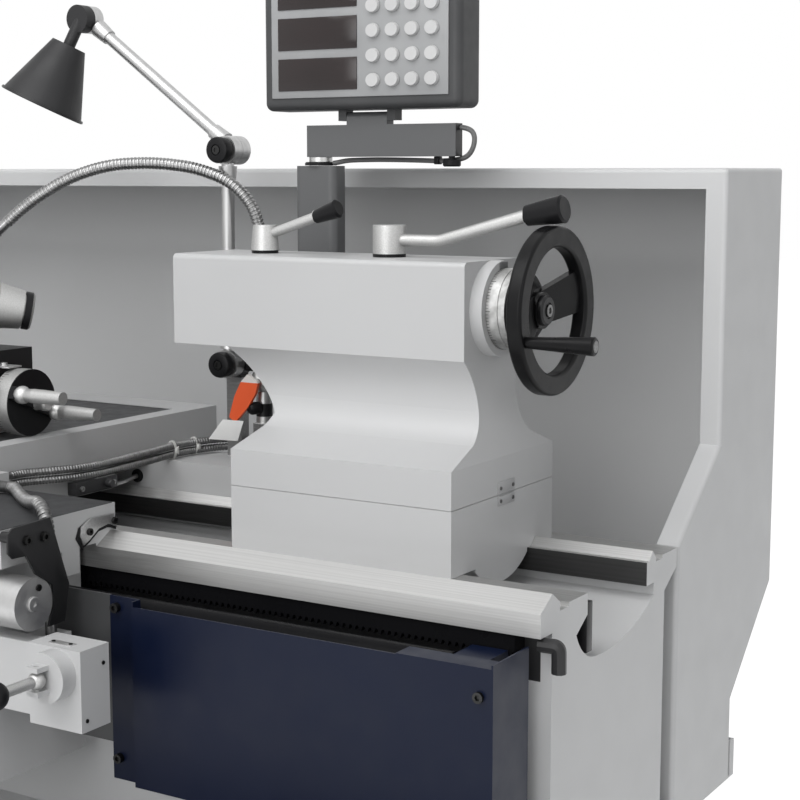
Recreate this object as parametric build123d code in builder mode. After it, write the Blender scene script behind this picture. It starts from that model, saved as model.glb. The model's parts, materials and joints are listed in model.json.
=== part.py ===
from build123d import *
import math
import os

# Centre lathe on two cabinets, in millimetres.
# X runs along the bed towards the tailstock, Y to the back from the spindle axis, Z up from the floor.

# Whole machine
BED_LENGTH = 2140.0
WAY_HEIGHT = 840.0
CENTRE_HEIGHT = 280.0
FRONT_REACH = 485.0
REAR_REACH = 485.0
SLIDE_GAP = 0.3
RUN_GAP = 0.05
SHEET = 3.0

# Bed section, as distances from the spindle axis and heights from the flat ways
FRONT_FACE = 202.0
FRONT_V_CREST = 176.5
FRONT_V_RISE = 17.0
FRONT_V_FOOT = 2.0
FRONT_V_INNER = 159.0
FRONT_V_INNER_FOOT = 5.0
FRONT_FLAT_OUT = 138.0
FRONT_FLAT_IN = 94.0
FRONT_LIP = 23.0
FRONT_WALL_OUT = 176.0
FRONT_WALL_IN = 120.0
FRONT_UNDERCUT = 39.0
REAR_RAIL_IN = 61.0
REAR_RAIL_DEPTH = 27.0
REAR_V_CREST = 77.0
REAR_V_HALF = 10.0
REAR_V_RISE = 10.0
REAR_FLAT_IN = 106.0
REAR_FACE = 148.0
REAR_LIP = 22.0
REAR_WALL_OUT = 113.0
REAR_WALL_IN = 82.0
REAR_UNDERCUT = 43.0
WAY_GROOVE = 4.0
BED_HEIGHT = 337.0
RIB_PITCH = 290.0
RIB_THICKNESS = 30.0
TROUGH_LENGTH = 260.0
TROUGH_DEPTH = 72.5
TROUGH_REAR = 41.0
TROUGH_LOW_Y = 74.0
TROUGH_BASE = 110.0
END_WALL = 40.0
BED_FOOT_LENGTH = 300.0
BED_FOOT_FRONT = 196.0
BED_FOOT_BACK = 150.0
BED_FOOT_HEIGHT = 25.0

# Feed rack under the front rail
RACK_HEIGHT = 23.0
RACK_WIDTH = 22.0
RACK_PITCH = 8.0
RACK_TOOTH = 5.0
RACK_END_GAP = 30.0

# Stand
CABINET_FRONT = 240.0
CABINET_BACK = 300.0
CABINET_WALL = 5.0
CABINET_FLOOR = 12.0
CABINET_CORNER = 12.0
HEAD_CABINET_LENGTH = 640.0
TAIL_CABINET_LENGTH = 430.0
TAIL_CABINET_INSET = 20.0
FOOT_PAD_RADIUS = 40.0
FOOT_PAD_HEIGHT = 25.0
FOOT_PAD_INSET = 60.0
ANCHOR_RADIUS = 9.0
ANCHOR_INSET_X = 150.0
ANCHOR_INSET_Y = 60.0
TRAY_LIP = 45.0
TRAY_BACK = 360.0

# Foot brake between the cabinets
BRAKE_PIVOT_Y = -120.0
BRAKE_PIVOT_Z = 300.0
BRAKE_BAR_Y = -300.0
BRAKE_BAR_Z = 130.0
BRAKE_BAR_DEPTH = 60.0
BRAKE_BAR_HEIGHT = 20.0
BRAKE_ARM = 12.0
BRAKE_ARM_WIDTH = 36.0
BRAKE_PIN_RADIUS = 10.0
BRAKE_SIDE_GAP = 2.0

# Splash guard
GUARD_ROOF_DEPTH = 202.0
GUARD_RIM = 25.0
GUARD_EDGE = 6.0
GUARD_TOP = 434.0
GUARD_KINK = 111.0
GUARD_SLANT_OUT = 140.0
GUARD_SLANT_DROP = 125.0
WING_FLANGE = 27.0
WING_SLANT_TOP = 100.0
WING_SLANT_FOOT_Y = 153.0

# Headstock
HEAD_LENGTH = 560.0
HEAD_FRONT = 205.0
HEAD_BACK = 235.0
HEAD_RISE = 190.0
HEAD_LIFT = 20.0
HEAD_WALL = 20.0
HEAD_CORNER = 14.0

# Spindle and chuck
SPINDLE_BORE = 40.0
SPINDLE_TAIL = 48.0
SPINDLE_MIDDLE = 62.0
SPINDLE_NOSE_BEARING = 70.0
SPINDLE_FLANGE = 105.0
SPINDLE_FLANGE_DEPTH = 50.0
SPINDLE_OVERHANG = 60.0
CHUCK_RADIUS = 125.0
CHUCK_HOLE = 42.0
CHUCK_DEPTH = 95.0
CHUCK_BEVEL = 6.0
JAW_COUNT = 3
JAW_WIDTH = 30.0
JAW_SLOT_DEPTH = 22.0
JAW_SLOT_INNER = 44.0
JAW_INNER = 62.0
JAW_LENGTH = 58.0
JAW_STEP = 24.0
JAW_STEP_HEIGHT = 16.0
JAW_HEIGHT = 35.0

# Belt drive under the end cover
COVER_DEPTH = 167.0
COVER_GAP = 3.0
COVER_FRONT = 225.0
COVER_BACK = 250.0
COVER_BOTTOM = 190.0
COVER_RISE = 175.0
COVER_CORNER = 20.0
COVER_HOLE = 54.0
COVER_TAIL_GAP = 8.0
HINGE_HEIGHTS = (900.0, 1200.0)
HINGE_RADIUS = 7.0
HINGE_PIN = 3.5
HINGE_KNUCKLE_HALF = 20.0
HINGE_BARREL = 20.0
HINGE_NOTCH = 10.0
HINGE_ARM_REACH = 42.0
HINGE_ARM_SINK = 5.0
HINGE_SIDE_GAP = 0.5
BELT_WIDTH = 60.0
BELT_THICKNESS = 10.0
BELT_INSET = 50.0
INPUT_PULLEY_RADIUS = 112.0
INPUT_PULLEY_Y = 112.0
INPUT_PULLEY_DROP = 148.0
INPUT_SHAFT_RADIUS = 20.0
MOTOR_PULLEY_RADIUS = 56.0
MOTOR_SHAFT_RADIUS = 19.0
MOTOR_SHAFT_HOLE = 26.0
MOTOR_Y = 60.0
MOTOR_Z = 300.0
MOTOR_RADIUS = 105.0
MOTOR_LENGTH = 330.0
MOTOR_INSET = 40.0
MOTOR_FOOT_WIDTH = 180.0
MOTOR_SHELF_DROP = 125.0

# Levers and buttons on the headstock
SPEED_LEVER_LEFT = 150.0
SPEED_LEVER_RIGHT = 380.0
SPEED_LEVER_RISE = 70.0
SPEED_HUB_RADIUS = 26.0
SPEED_HUB_DEPTH = 32.0
SPEED_PIN_RADIUS = 10.0
SPEED_PIN_LENGTH = 18.0
SPEED_ARM_RADIUS = 8.0
SPEED_ARM_LENGTH = 115.0
SPEED_ARM_TILT = 20.0
SPEED_BALL_RADIUS = 18.0
STOP_BUTTON_X = 522.0
STOP_BUTTON_RISE = 150.0
STOP_CAP_RADIUS = 20.0
STOP_CAP_DEPTH = 16.0
STOP_STEM_RADIUS = 11.0
STOP_STEM_LENGTH = 17.0
STOP_TRAVEL_GAP = 8.0

# Feed gearbox, leadscrew and feed rod
GEARBOX_INSET = 10.0
GEARBOX_LENGTH = 490.0
GEARBOX_FRONT = 330.0
GEARBOX_TOP = 28.0
GEARBOX_BOTTOM = 260.0
GEARBOX_CORNER = 10.0
SCREW_Y = -240.0
LEADSCREW_DROP = 55.0
LEADSCREW_RADIUS = 17.5
LEADSCREW_JOURNAL = 10.0
FEED_ROD_DROP = 110.0
FEED_ROD_RADIUS = 14.0
SHAFT_SEAT = 35.0
BRACKET_INSET = 35.0
BRACKET_THICKNESS = 40.0
BRACKET_FRONT = 262.0
BRACKET_TOP = 39.0
BRACKET_BOTTOM = 150.0

# Sheet guard over the leadscrew
SCREW_GUARD_LENGTH = 443.0
SCREW_GUARD_INSET = 12.0
SCREW_GUARD_FRONT = 277.0
SCREW_GUARD_TOP = 37.0
SCREW_GUARD_BOTTOM = 240.0
SCREW_GUARD_SHEET = 2.0
SCREW_GUARD_TAB = 40.0
SCREW_GUARD_TAB_RISE = 6.0
SCREW_GUARD_TAB_STEP = 11.0
SCREW_GUARD_PLATE_DEPTH = 27.0
SCREW_GUARD_PLATE = 108.0
SCREW_GUARD_PLATE_DROP = 36.0
SCREW_GUARD_END_TOP = 32.0
RAIL_CLEAR = 1.0

# Saddle and apron
SADDLE_FROM_END = 570.0
SADDLE_LENGTH = 600.0
SADDLE_FRONT = 353.0
SADDLE_TOP = 48.0
SADDLE_LIFT = 0.4
WING_UNDER = 6.0
WING_BACK = 169.0
BRIDGE_UNDER = 13.0
BRIDGE_FROM_END = 872.5
BRIDGE_WIDTH = 240.0
BRIDGE_BACK = 152.0
BRIDGE_STEP = 35.0
BRIDGE_WAIST = 52.5
REAR_WING_FRONT = 99.0
JUNCTION_LEFT = 737.0
JUNCTION_WIDTH = 16.0
JUNCTION_FRONT = 216.0
JUNCTION_LENGTH = 30.0
JUNCTION_HEIGHT = 24.0
KEEPER_FRONT = 259.0
KEEPER_BACK = 231.0
KEEPER_LENGTH = 21.0
KEEPER_DROP = 29.0
CROSS_DOVE_HALF = 48.0
CROSS_DOVE_FLARE = 12.0
CROSS_DOVE_HEIGHT = 18.0
CROSS_DOVE_FRONT = 330.0
APRON_RIGHT_INSET = 22.0
APRON_LENGTH = 468.0
APRON_FRONT = 350.0
APRON_BACK = 206.0
APRON_DEPTH = 240.0
APRON_ROD_GAP = 3.0
APRON_PLATE_LENGTH = 94.0
APRON_PLATE_FRONT = 262.0
APRON_PLATE_SHEET = 3.0
APRON_PLATE_TOP = 32.0
APRON_PLATE_BOTTOM = 200.0
STICK_BOX_LENGTH = 73.0
STICK_BOX_REACH = 147.0
STICK_NECK_TOP = 70.0
STICK_BOX_FRONT = 370.0
STICK_BOX_BACK = 326.0
STICK_BOX_OVERLAP = 8.0
STICK_BOX_TOP = 62.0
STICK_BOX_BOTTOM = 150.0
CLUTCH_RADIUS = 29.0
CLUTCH_LENGTH = 55.0
CLUTCH_Y = -340.0
CLUTCH_DROP = 31.0

# Hand controls of the apron
STICK_INSET = 33.0
STICK_RADIUS = 6.0
STICK_LENGTH = 60.0
STICK_COLLAR = 27.0
STICK_BALL = 15.0
STICK_COLLAR_DEPTH = 20.0
STICK_DROP = 90.0
STICK_PIVOT_BALL = 9.5
STICK_PIVOT_GAP = 0.5
STICK_EAR_HALF = 8.0
STICK_EAR_REACH = 17.0
STICK_EAR_INNER = 10.2
STICK_EAR_OUTER = 15.5
STICK_PIN_RADIUS = 3.0
STICK_PIN_HALF = 15.0
CONDUIT_GLAND_LEFT = 575.0
CONDUIT_GLAND_LENGTH = 35.0
CONDUIT_GLAND_BACK = 280.0
CONDUIT_GLAND_TOP = 75.0
CONDUIT_GLAND_HEIGHT = 40.0
APRON_WHEEL_X = 380.0
APRON_WHEEL_DROP = 130.0
APRON_WHEEL_RADIUS = 90.0
APRON_WHEEL_RIM = 9.0
APRON_HUB_RADIUS = 26.0
APRON_HUB_LENGTH = 78.0
APRON_SPOKE = 7.0
APRON_SPOKE_COUNT = 3
APRON_GRIP_LENGTH = 42.0
APRON_GRIP_RADIUS = 10.0
APRON_GRIP_NECK = 6.0
APRON_GRIP_CLEAR = 13.0
APRON_RIM_FACETS = 20
NUT_LEVER_X = 100.0
NUT_LEVER_DROP = 120.0
NUT_HUB_RADIUS = 22.0
NUT_HUB_DEPTH = 30.0
NUT_ARM_RADIUS = 7.0
NUT_ARM_LENGTH = 105.0
NUT_BALL_RADIUS = 15.0
CONTROL_PIN_RADIUS = 9.0
CONTROL_PIN_LENGTH = 22.0

# Cross slide, compound and tool post
CROSS_WIDTH = 265.0
CROSS_FRONT = 250.0
CROSS_BACK = 245.0
CROSS_TOP = 100.0
CROSS_RIM = 30.0
CROSS_RIM_BACK = 58.0
CROSS_RIM_FRONT = 15.0
CROSS_RECESS = 2.0
DOVE_SIDE_GAP = 0.5
CRANK_Z = 30.0
CRANK_DIAL_RADIUS = 36.0
CRANK_DIAL_DEPTH = 28.0
CRANK_HUB_RADIUS = 16.0
CRANK_HUB_DEPTH = 24.0
CRANK_ARM_HALF = 60.0
CRANK_ARM_WIDTH = 18.0
CRANK_ARM_THICKNESS = 12.0
CRANK_GRIP_LENGTH = 58.0
CRANK_GRIP_RADIUS = 10.0
CRANK_PIN_LENGTH = 30.0
COMPOUND_FROM_END = 915.0
COMPOUND_Y = -100.0
COMPOUND_RADIUS = 90.0
COMPOUND_HEIGHT = 27.5
TOP_DOVE_HALF = 26.0
TOP_DOVE_FLARE = 8.0
TOP_DOVE_HEIGHT = 14.0
TOP_DOVE_LENGTH = 150.0
TOP_SLIDE_LENGTH = 250.0
TOP_SLIDE_HALF = 55.0
TOP_SLIDE_TOP = 172.0
TOP_BLOCK_TOP = 205.0
TOP_BLOCK_HALF = 60.0
TOP_BLOCK_INSET = 28.0
TOP_BLOCK_LENGTH = 170.0
TOP_CRANK_Z = 143.0
TOP_DIAL_RADIUS = 42.0
TOP_DIAL_DEPTH = 27.0
TOP_CRANK_REACH = 33.0
TOP_CRANK_TILT = -25.0
TOP_CRANK_BAR = 16.0
TOP_CRANK_BAR_DEPTH = 10.0
TOP_GRIP_LENGTH = 70.0
TOP_GRIP_RADIUS = 9.0
TOP_SHAFT_RADIUS = 10.0
TOP_SHAFT_LENGTH = 30.0
POST_OFFSET = 7.0
POST_HALF = 42.0
POST_HEIGHT = 95.0
POST_SLOT_DEPTH = 26.0
POST_SLOT_HEIGHT = 30.0
POST_SLOT_FLOOR = 50.0
POST_NUT_RADIUS = 16.0
POST_NUT_HEIGHT = 22.0
KNOB_Y = 12.0
KNOB_RISE = 61.0
KNOB_TURN = 48.0
KNOB_DROP = 12.0
KNOB_BOSS_RADIUS = 18.0
KNOB_BOSS_DEPTH = 20.0
KNOB_BOSS_LENGTH = 36.0
KNOB_BODY_RADIUS = 30.0
KNOB_BODY_LENGTH = 32.5
KNOB_BODY_END = 25.0
KNOB_GROOVE = 2.0
KNOB_GROOVE_RADIUS = 20.0
KNOB_CAP_RADIUS = 24.5
KNOB_CAP_LENGTH = 11.0
KNOB_PIN_RADIUS = 8.0
KNOB_PIN_LENGTH = 14.0

# Rear rail with lamp, coolant valve and readout post
RAIL_RIGHT = 420.0
RAIL_LEFT = 1000.0
RAIL_BACK = 190.0
RAIL_TOP = 45.0
RAIL_BOTTOM = 5.0
GLAND_LEFT = 590.0
GLAND_LENGTH = 30.0
GLAND_DEPTH = 16.0
GLAND_HEIGHT = 28.0
LAMP_X = 653.0
LAMP_Y = 172.0
LAMP_PIVOT_Z = 173.0
LAMP_STEM_HALF = 12.0
LAMP_EYE_RADIUS = 19.0
LAMP_EYE_DEPTH = 17.0
LAMP_PIN_RADIUS = 6.0
LAMP_ROD_RADIUS = 8.5
LAMP_SOCKET_START = 21.0
LAMP_SOCKET_END = 44.0
LAMP_SOCKET_WIDE = 12.5
LAMP_SOCKET_NARROW = 10.5
LAMP_LOWER_RUN = 2.0
LAMP_LOWER_RISE = 285.0
LAMP_UPPER_RUN = -252.0
LAMP_UPPER_RISE = 182.0
LAMP_SHADE_RADIUS = 58.0
LAMP_SHADE_NECK = 24.0
LAMP_SHADE_LENGTH = 90.0
LAMP_SHADE_WALL = 3.0
LAMP_SHADE_STEM = 40.0
VALVE_X = 602.0
VALVE_PIPE_RADIUS = 11.0
VALVE_BODY_RADIUS = 18.0
VALVE_Z = 152.0
VALVE_TOP = 178.0
VALVE_STEM_RADIUS = 6.0
VALVE_STEM_LENGTH = 8.0
VALVE_LEVER_LENGTH = 60.0
VALVE_LEVER_HEEL = 8.0
VALVE_LEVER_HEEL_HALF = 10.0
VALVE_LEVER_WIDE = 14.0
VALVE_LEVER_MIDDLE = 13.0
VALVE_LEVER_NARROW = 6.0
VALVE_LEVER_THICKNESS = 5.0
VALVE_LEVER_ROUND = 3.0
VALVE_LEVER_ANGLE = 239.0
READOUT_X = 508.0
READOUT_POST_WIDTH = 62.0
READOUT_POST_DEPTH = 32.0
READOUT_POST_CORNER = 10.0
READOUT_POST_TOP = 437.0
READOUT_CAP_RADIUS = 15.0
READOUT_CAP_HEIGHT = 11.0
READOUT_BEAM_LEFT = 16.0
READOUT_BEAM_RIGHT = 204.0
READOUT_BEAM_HEIGHT = 40.0
READOUT_BEAM_DEPTH = 16.0
CONSOLE_WIDTH = 290.0
CONSOLE_HEIGHT = 190.0
CONSOLE_DEPTH = 55.0
CONSOLE_CORNER = 10.0
CONSOLE_LIFT = 18.0
CONSOLE_HINGE = 8.0
CONSOLE_HINGE_LENGTH = 60.0
CONSOLE_PIN = 3.0
CONSOLE_PIN_LENGTH = 20.0
CONSOLE_LUG = 12.0
CONSOLE_RIGHT = 220.0

# Coolant hose and conduits
HOSE_RADIUS = 8.0
HOSE_ROOT = 7.0
HOSE_BORE = 5.0
HOSE_PITCH = 5.0
NOZZLE_RADIUS = 6.5
NOZZLE_LENGTH = 40.0
CONDUIT_RADIUS = 5.0
CONDUIT_ROOT = 4.3
CONDUIT_BORE = 3.0
CONDUIT_PITCH = 4.0
SWITCH_CONDUIT_RADIUS = 7.5
SWITCH_CONDUIT_ROOT = 6.5
SWITCH_CONDUIT_BORE = 5.0
SWITCH_CONDUIT_PITCH = 5.0

# Tailstock
TAIL_FROM_END = 147.0
TAIL_LENGTH = 290.0
TAIL_HALF = 120.5
TAIL_JOINT = 73.0
TAIL_JOINT_CHAMFER = 1.2
TAIL_LEDGE = 116.0
TAIL_NECK_HALF = 46.0
TAIL_NECK_Z = 170.0
TAIL_LEDGE_HALF = 68.0
TAIL_LEDGE_Z = 136.0
TAIL_NECK_INSET = 14.0
TAIL_BOX_OUT = 125.0
TAIL_BOX_LENGTH = 398.0
TAIL_BOX_HALF = 64.0
TAIL_BOX_BOTTOM = 226.0
TAIL_BOX_TOP = 333.0
TAIL_BOX_CORNER = 6.0
TAIL_NECK_FLARE = 46.0
TAIL_NECK_FOOT = 150.0
TAIL_NECK_BOW = 3.0
BELLY_FRONT = 66.0
BELLY_BACK = 57.0
BELLY_DEPTH = 26.0
BELLY_TOP = 4.0
QUILL_RADIUS = 37.5
QUILL_LENGTH = 330.0
QUILL_OUT = 12.0
TAPER_MOUTH = 22.0
TAPER_END = 18.5
TAPER_DEPTH = 130.0
QUILL_SCREW_BORE = 17.0
QUILL_SCREW_RADIUS = 14.0
QUILL_SCREW_LENGTH = 285.0
FLANGE_RADIUS = 53.0
FLANGE_DEPTH = 15.0
DIAL_RADIUS = 45.0
DIAL_SCALE = 14.0
DIAL_GROOVE = 1.0
DIAL_DEPTH = 22.0
WHEEL_RADIUS = 92.0
WHEEL_RIM_WIDTH = 23.0
WHEEL_RIM_DEPTH = 18.0
WHEEL_RIM_EDGE = 4.0
WHEEL_X = 55.5
WHEEL_CONE_RADIUS = 41.0
WHEEL_CONE_FLAT = 6.0
WHEEL_CONE_DEPTH = 19.0
WHEEL_NECK_RADIUS = 24.0
WHEEL_HUB_RADIUS = 20.0
WHEEL_HUB_DEPTH = 26.0
WHEEL_SPOKE_ROOT = 18.0
WHEEL_SPOKE_TIP = 25.0
WHEEL_SPOKE_THICKNESS = 9.0
WHEEL_SPOKE_COUNT = 2
WHEEL_SPOKE_START = 15.0
WHEEL_SPOKE_ROOT_X = 14.0
GRIP_ANGLE = 200.0
GRIP_LENGTH = 78.0
GRIP_NECK = 6.0
GRIP_END = 10.0
GRIP_CHAMFER = 1.5
GRIP_PIN_RADIUS = 5.0
GRIP_PIN_LENGTH = 12.0

# Tailstock levers
LOCK_X = 89.0
LOCK_HUB_BASE = 17.0
LOCK_HUB_TOP = 14.0
LOCK_HUB_HEIGHT = 33.0
LOCK_ROD_RADIUS = 6.0
LOCK_ROD_LENGTH = 78.0
LOCK_ROD_RISE = 18.0
LOCK_KNOB_LENGTH = 34.0
LOCK_KNOB_RADIUS = 11.0
LOCK_KNOB_NECK = 8.0
CLAMP_X = 264.0
CLAMP_HUB_RADIUS = 19.0
CLAMP_HUB_HEIGHT = 36.0
CLAMP_ARM_RADIUS = 7.0
CLAMP_ARM_LIFT = 19.0
CLAMP_ARM_FLAT = 66.0
CLAMP_KNOB_X = 176.0
CLAMP_KNOB_RISE = 30.0
CLAMP_KNOB_TILT = 10.0
CLAMP_BEND_RADIUS = 40.0
CLAMP_KNOB_LENGTH = 46.0
CLAMP_KNOB_RADIUS = 15.5
CLAMP_KNOB_NECK = 11.5
KNOB_CHAMFER = 2.5
LEVER_RING = 3.0
LEVER_PIN_RADIUS = 8.0
LEVER_PIN_LENGTH = 12.0

# Placed from the driving dimensions
bed_right = (BED_LENGTH + COVER_GAP + COVER_DEPTH) / 2
bed_left = bed_right - BED_LENGTH
flat = WAY_HEIGHT
axis_z = WAY_HEIGHT + CENTRE_HEIGHT
bed_bottom = flat - BED_HEIGHT
cabinet_top = bed_bottom - SHEET
head_right = bed_left + HEAD_LENGTH
nose_x = head_right + SPINDLE_OVERHANG
cover_left = bed_left - COVER_GAP - COVER_DEPTH

os.makedirs("parts", exist_ok=True)


def block(x_span, y_span, z_span, mode=Mode.ADD):
    """Add a block between two limits on each axis."""
    spans = (x_span, y_span, z_span)
    middle = tuple((low + high) / 2 for low, high in spans)
    size = tuple(high - low for low, high in spans)
    with Locations(middle):
        Box(*size, mode=mode)


def turned(base, direction, profile, mode=Mode.ADD):
    """Turn (distance, radius) points about the line from base along direction."""
    along = Vector(*direction).normalized()
    side = Vector(1, 0, 0) if abs(along.Z) > 0.9 else Vector(0, 0, 1)
    with BuildSketch(Plane(origin=base, x_dir=along, z_dir=along.cross(side))) as section:
        with BuildLine():
            Polyline(*profile, close=True)
        make_face()
    revolve(section.sketch, Axis(base, along), mode=mode)


def bar(base, direction, length, radius, mode=Mode.ADD):
    """Add a round bar from base along direction."""
    with BuildSketch(Plane(origin=base, z_dir=direction)) as section:
        Circle(radius)
    extrude(section.sketch, amount=length, mode=mode)


def prism(plane, points, length, mode=Mode.ADD):
    """Extrude a closed outline from a plane."""
    with BuildSketch(plane) as section:
        with BuildLine():
            Polyline(*points, close=True)
        make_face()
    extrude(section.sketch, amount=length, mode=mode)


def ball(centre, radius, mode=Mode.ADD):
    """Add a ball."""
    with Locations(centre):
        Sphere(radius, mode=mode)


def save(builder, name):
    """Label a finished piece and write it."""
    builder.part.label = name
    export_step(builder.part, f"parts/{name}.step")


def cord_path(points):
    """Straight runs joined by the largest tangent arcs that the runs allow."""
    radii = []
    for before, here, after in zip(points, points[1:], points[2:]):
        incoming = Vector(*here) - Vector(*before)
        outgoing = Vector(*after) - Vector(*here)
        turn = math.radians(incoming.get_angle(outgoing))
        shorter = min(incoming.length, outgoing.length)
        radii.append(0.45 * shorter / math.tan(turn / 2))
    with BuildLine() as path:
        FilletPolyline(*points, radius=radii)
    return path.wire()


def ribbed_tube(path, crest, root, bore, pitch, steady):
    """A ribbed hose along a path: plain ends one diameter long, ribs between them, and a bore."""
    length = path.length
    plain_end = 2 * crest
    ribs = int((length - 2 * plain_end) / pitch)
    first = (length - ribs * pitch) / 2
    rings = [(0.0, root)]
    for rib in range(ribs):
        start = first + rib * pitch
        rings += [(start, root), (start + 0.2 * pitch, crest)]
        rings += [(start + 0.6 * pitch, crest), (start + 0.8 * pitch, root)]
    rings.append((length, root))
    faces = []
    for distance, radius in rings:
        along = path % (distance / length)
        plane = Plane(origin=path @ (distance / length), x_dir=steady.cross(along), z_dir=along)
        with BuildSketch(plane) as ring:
            Circle(radius)
        faces.append(ring.sketch)
    loft(faces, ruled=True)
    with BuildSketch(Plane(origin=path @ 0, x_dir=steady.cross(path % 0), z_dir=path % 0)) as hole:
        Circle(bore)
    sweep(hole.sketch, path=path, mode=Mode.SUBTRACT)


# Cabinets: hollow sheet stands with a floor plate, open inside
head_cabinet_right = bed_left + HEAD_CABINET_LENGTH
tail_cabinet_right = bed_right - TAIL_CABINET_INSET
tail_cabinet_left = tail_cabinet_right - TAIL_CABINET_LENGTH
cabinet_floor = FOOT_PAD_HEIGHT + CABINET_FLOOR
anchor_y = (CABINET_FRONT + CABINET_BACK) / 2 - ANCHOR_INSET_Y
cabinet_middle_y = (CABINET_BACK - CABINET_FRONT) / 2


def cabinet_shell(left, right):
    """Add a hollow stand between two X limits, with four anchor holes in its floor."""
    block((left, right), (-CABINET_FRONT, CABINET_BACK), (FOOT_PAD_HEIGHT, cabinet_top))


def cabinet_hollow(left, right):
    """Hollow the stand and pierce its floor."""
    block(
        (left + CABINET_WALL, right - CABINET_WALL),
        (-CABINET_FRONT + CABINET_WALL, CABINET_BACK - CABINET_WALL),
        (cabinet_floor, cabinet_top - CABINET_WALL),
        Mode.SUBTRACT,
    )
    for x in (left + ANCHOR_INSET_X, right - ANCHOR_INSET_X):
        for y in (cabinet_middle_y - anchor_y, cabinet_middle_y + anchor_y):
            bar((x, y, FOOT_PAD_HEIGHT), (0, 0, 1), CABINET_FLOOR, ANCHOR_RADIUS, Mode.SUBTRACT)


motor_shelf = MOTOR_Z - MOTOR_SHELF_DROP
motor_left = bed_left + MOTOR_INSET
motor_foot = (MOTOR_Y - MOTOR_FOOT_WIDTH / 2, MOTOR_Y + MOTOR_FOOT_WIDTH / 2)
with BuildPart() as headstock_cabinet:
    cabinet_shell(bed_left, head_cabinet_right)
    fillet(headstock_cabinet.edges().filter_by(Axis.Z), CABINET_CORNER)
    cabinet_hollow(bed_left, head_cabinet_right)
    block((motor_left, motor_left + MOTOR_LENGTH), motor_foot, (cabinet_floor, motor_shelf))
    bar((bed_left, MOTOR_Y, MOTOR_Z), (1, 0, 0), CABINET_WALL, MOTOR_SHAFT_HOLE, Mode.SUBTRACT)
    bar(
        (head_cabinet_right - CABINET_WALL, BRAKE_PIVOT_Y, BRAKE_PIVOT_Z),
        (1, 0, 0),
        CABINET_WALL,
        BRAKE_PIN_RADIUS + RUN_GAP,
        Mode.SUBTRACT,
    )
save(headstock_cabinet, "headstock_cabinet")

with BuildPart() as tailstock_cabinet:
    cabinet_shell(tail_cabinet_left, tail_cabinet_right)
    fillet(tailstock_cabinet.edges().filter_by(Axis.Z), CABINET_CORNER)
    cabinet_hollow(tail_cabinet_left, tail_cabinet_right)
    bar(
        (tail_cabinet_left, BRAKE_PIVOT_Y, BRAKE_PIVOT_Z),
        (1, 0, 0),
        CABINET_WALL,
        BRAKE_PIN_RADIUS + RUN_GAP,
        Mode.SUBTRACT,
    )
save(tailstock_cabinet, "tailstock_cabinet")

# Levelling feet: one pad under each cabinet corner
with BuildPart() as levelling_feet:
    for left, right in ((bed_left, head_cabinet_right), (tail_cabinet_left, tail_cabinet_right)):
        for x in (left + FOOT_PAD_INSET, right - FOOT_PAD_INSET):
            for y in (-CABINET_FRONT + FOOT_PAD_INSET, CABINET_BACK - FOOT_PAD_INSET):
                bar((x, y, 0), (0, 0, 1), FOOT_PAD_HEIGHT, FOOT_PAD_RADIUS)
save(levelling_feet, "levelling_feet")

# Chip tray: sheet pan on the cabinets, under the whole bed
with BuildPart() as chip_tray:
    block((bed_left, bed_right), (-FRONT_REACH, TRAY_BACK), (cabinet_top, bed_bottom + TRAY_LIP))
    block(
        (bed_left + SHEET, bed_right - SHEET),
        (-FRONT_REACH + SHEET, TRAY_BACK - SHEET),
        (bed_bottom, bed_bottom + TRAY_LIP),
        Mode.SUBTRACT,
    )
    for lip_left in (bed_left, bed_right - SHEET):
        block(
            (lip_left, lip_left + SHEET),
            (-BED_FOOT_FRONT - RAIL_CLEAR, REAR_REACH - GUARD_SLANT_OUT + RAIL_CLEAR),
            (bed_bottom, bed_bottom + TRAY_LIP),
            Mode.SUBTRACT,
        )
save(chip_tray, "chip_tray")

# Foot brake: a bar across the gap on two arms that pivot in the cabinet sides
brake_left = head_cabinet_right + BRAKE_SIDE_GAP
brake_right = tail_cabinet_left - BRAKE_SIDE_GAP
brake_arm_points = (
    (BRAKE_PIVOT_Y - BRAKE_ARM_WIDTH / 2, BRAKE_PIVOT_Z + BRAKE_ARM_WIDTH / 2),
    (BRAKE_PIVOT_Y + BRAKE_ARM_WIDTH / 2, BRAKE_PIVOT_Z + BRAKE_ARM_WIDTH / 2),
    (BRAKE_PIVOT_Y + BRAKE_ARM_WIDTH / 2, BRAKE_PIVOT_Z - BRAKE_ARM_WIDTH / 2),
    (BRAKE_BAR_Y + BRAKE_BAR_DEPTH, BRAKE_BAR_Z),
    (BRAKE_BAR_Y, BRAKE_BAR_Z),
    (BRAKE_BAR_Y, BRAKE_BAR_Z + BRAKE_BAR_HEIGHT),
)
brake_pin = CABINET_WALL + BRAKE_SIDE_GAP
with BuildPart() as brake_pedal:
    block(
        (brake_left, brake_right),
        (BRAKE_BAR_Y, BRAKE_BAR_Y + BRAKE_BAR_DEPTH),
        (BRAKE_BAR_Z, BRAKE_BAR_Z + BRAKE_BAR_HEIGHT),
    )
    for x in (brake_left, brake_right - BRAKE_ARM):
        prism(Plane.YZ.offset(x), brake_arm_points, BRAKE_ARM)
    bar((brake_left, BRAKE_PIVOT_Y, BRAKE_PIVOT_Z), (-1, 0, 0), brake_pin, BRAKE_PIN_RADIUS)
    bar((brake_right, BRAKE_PIVOT_Y, BRAKE_PIVOT_Z), (1, 0, 0), brake_pin, BRAKE_PIN_RADIUS)
save(brake_pedal, "brake_pedal")

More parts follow.
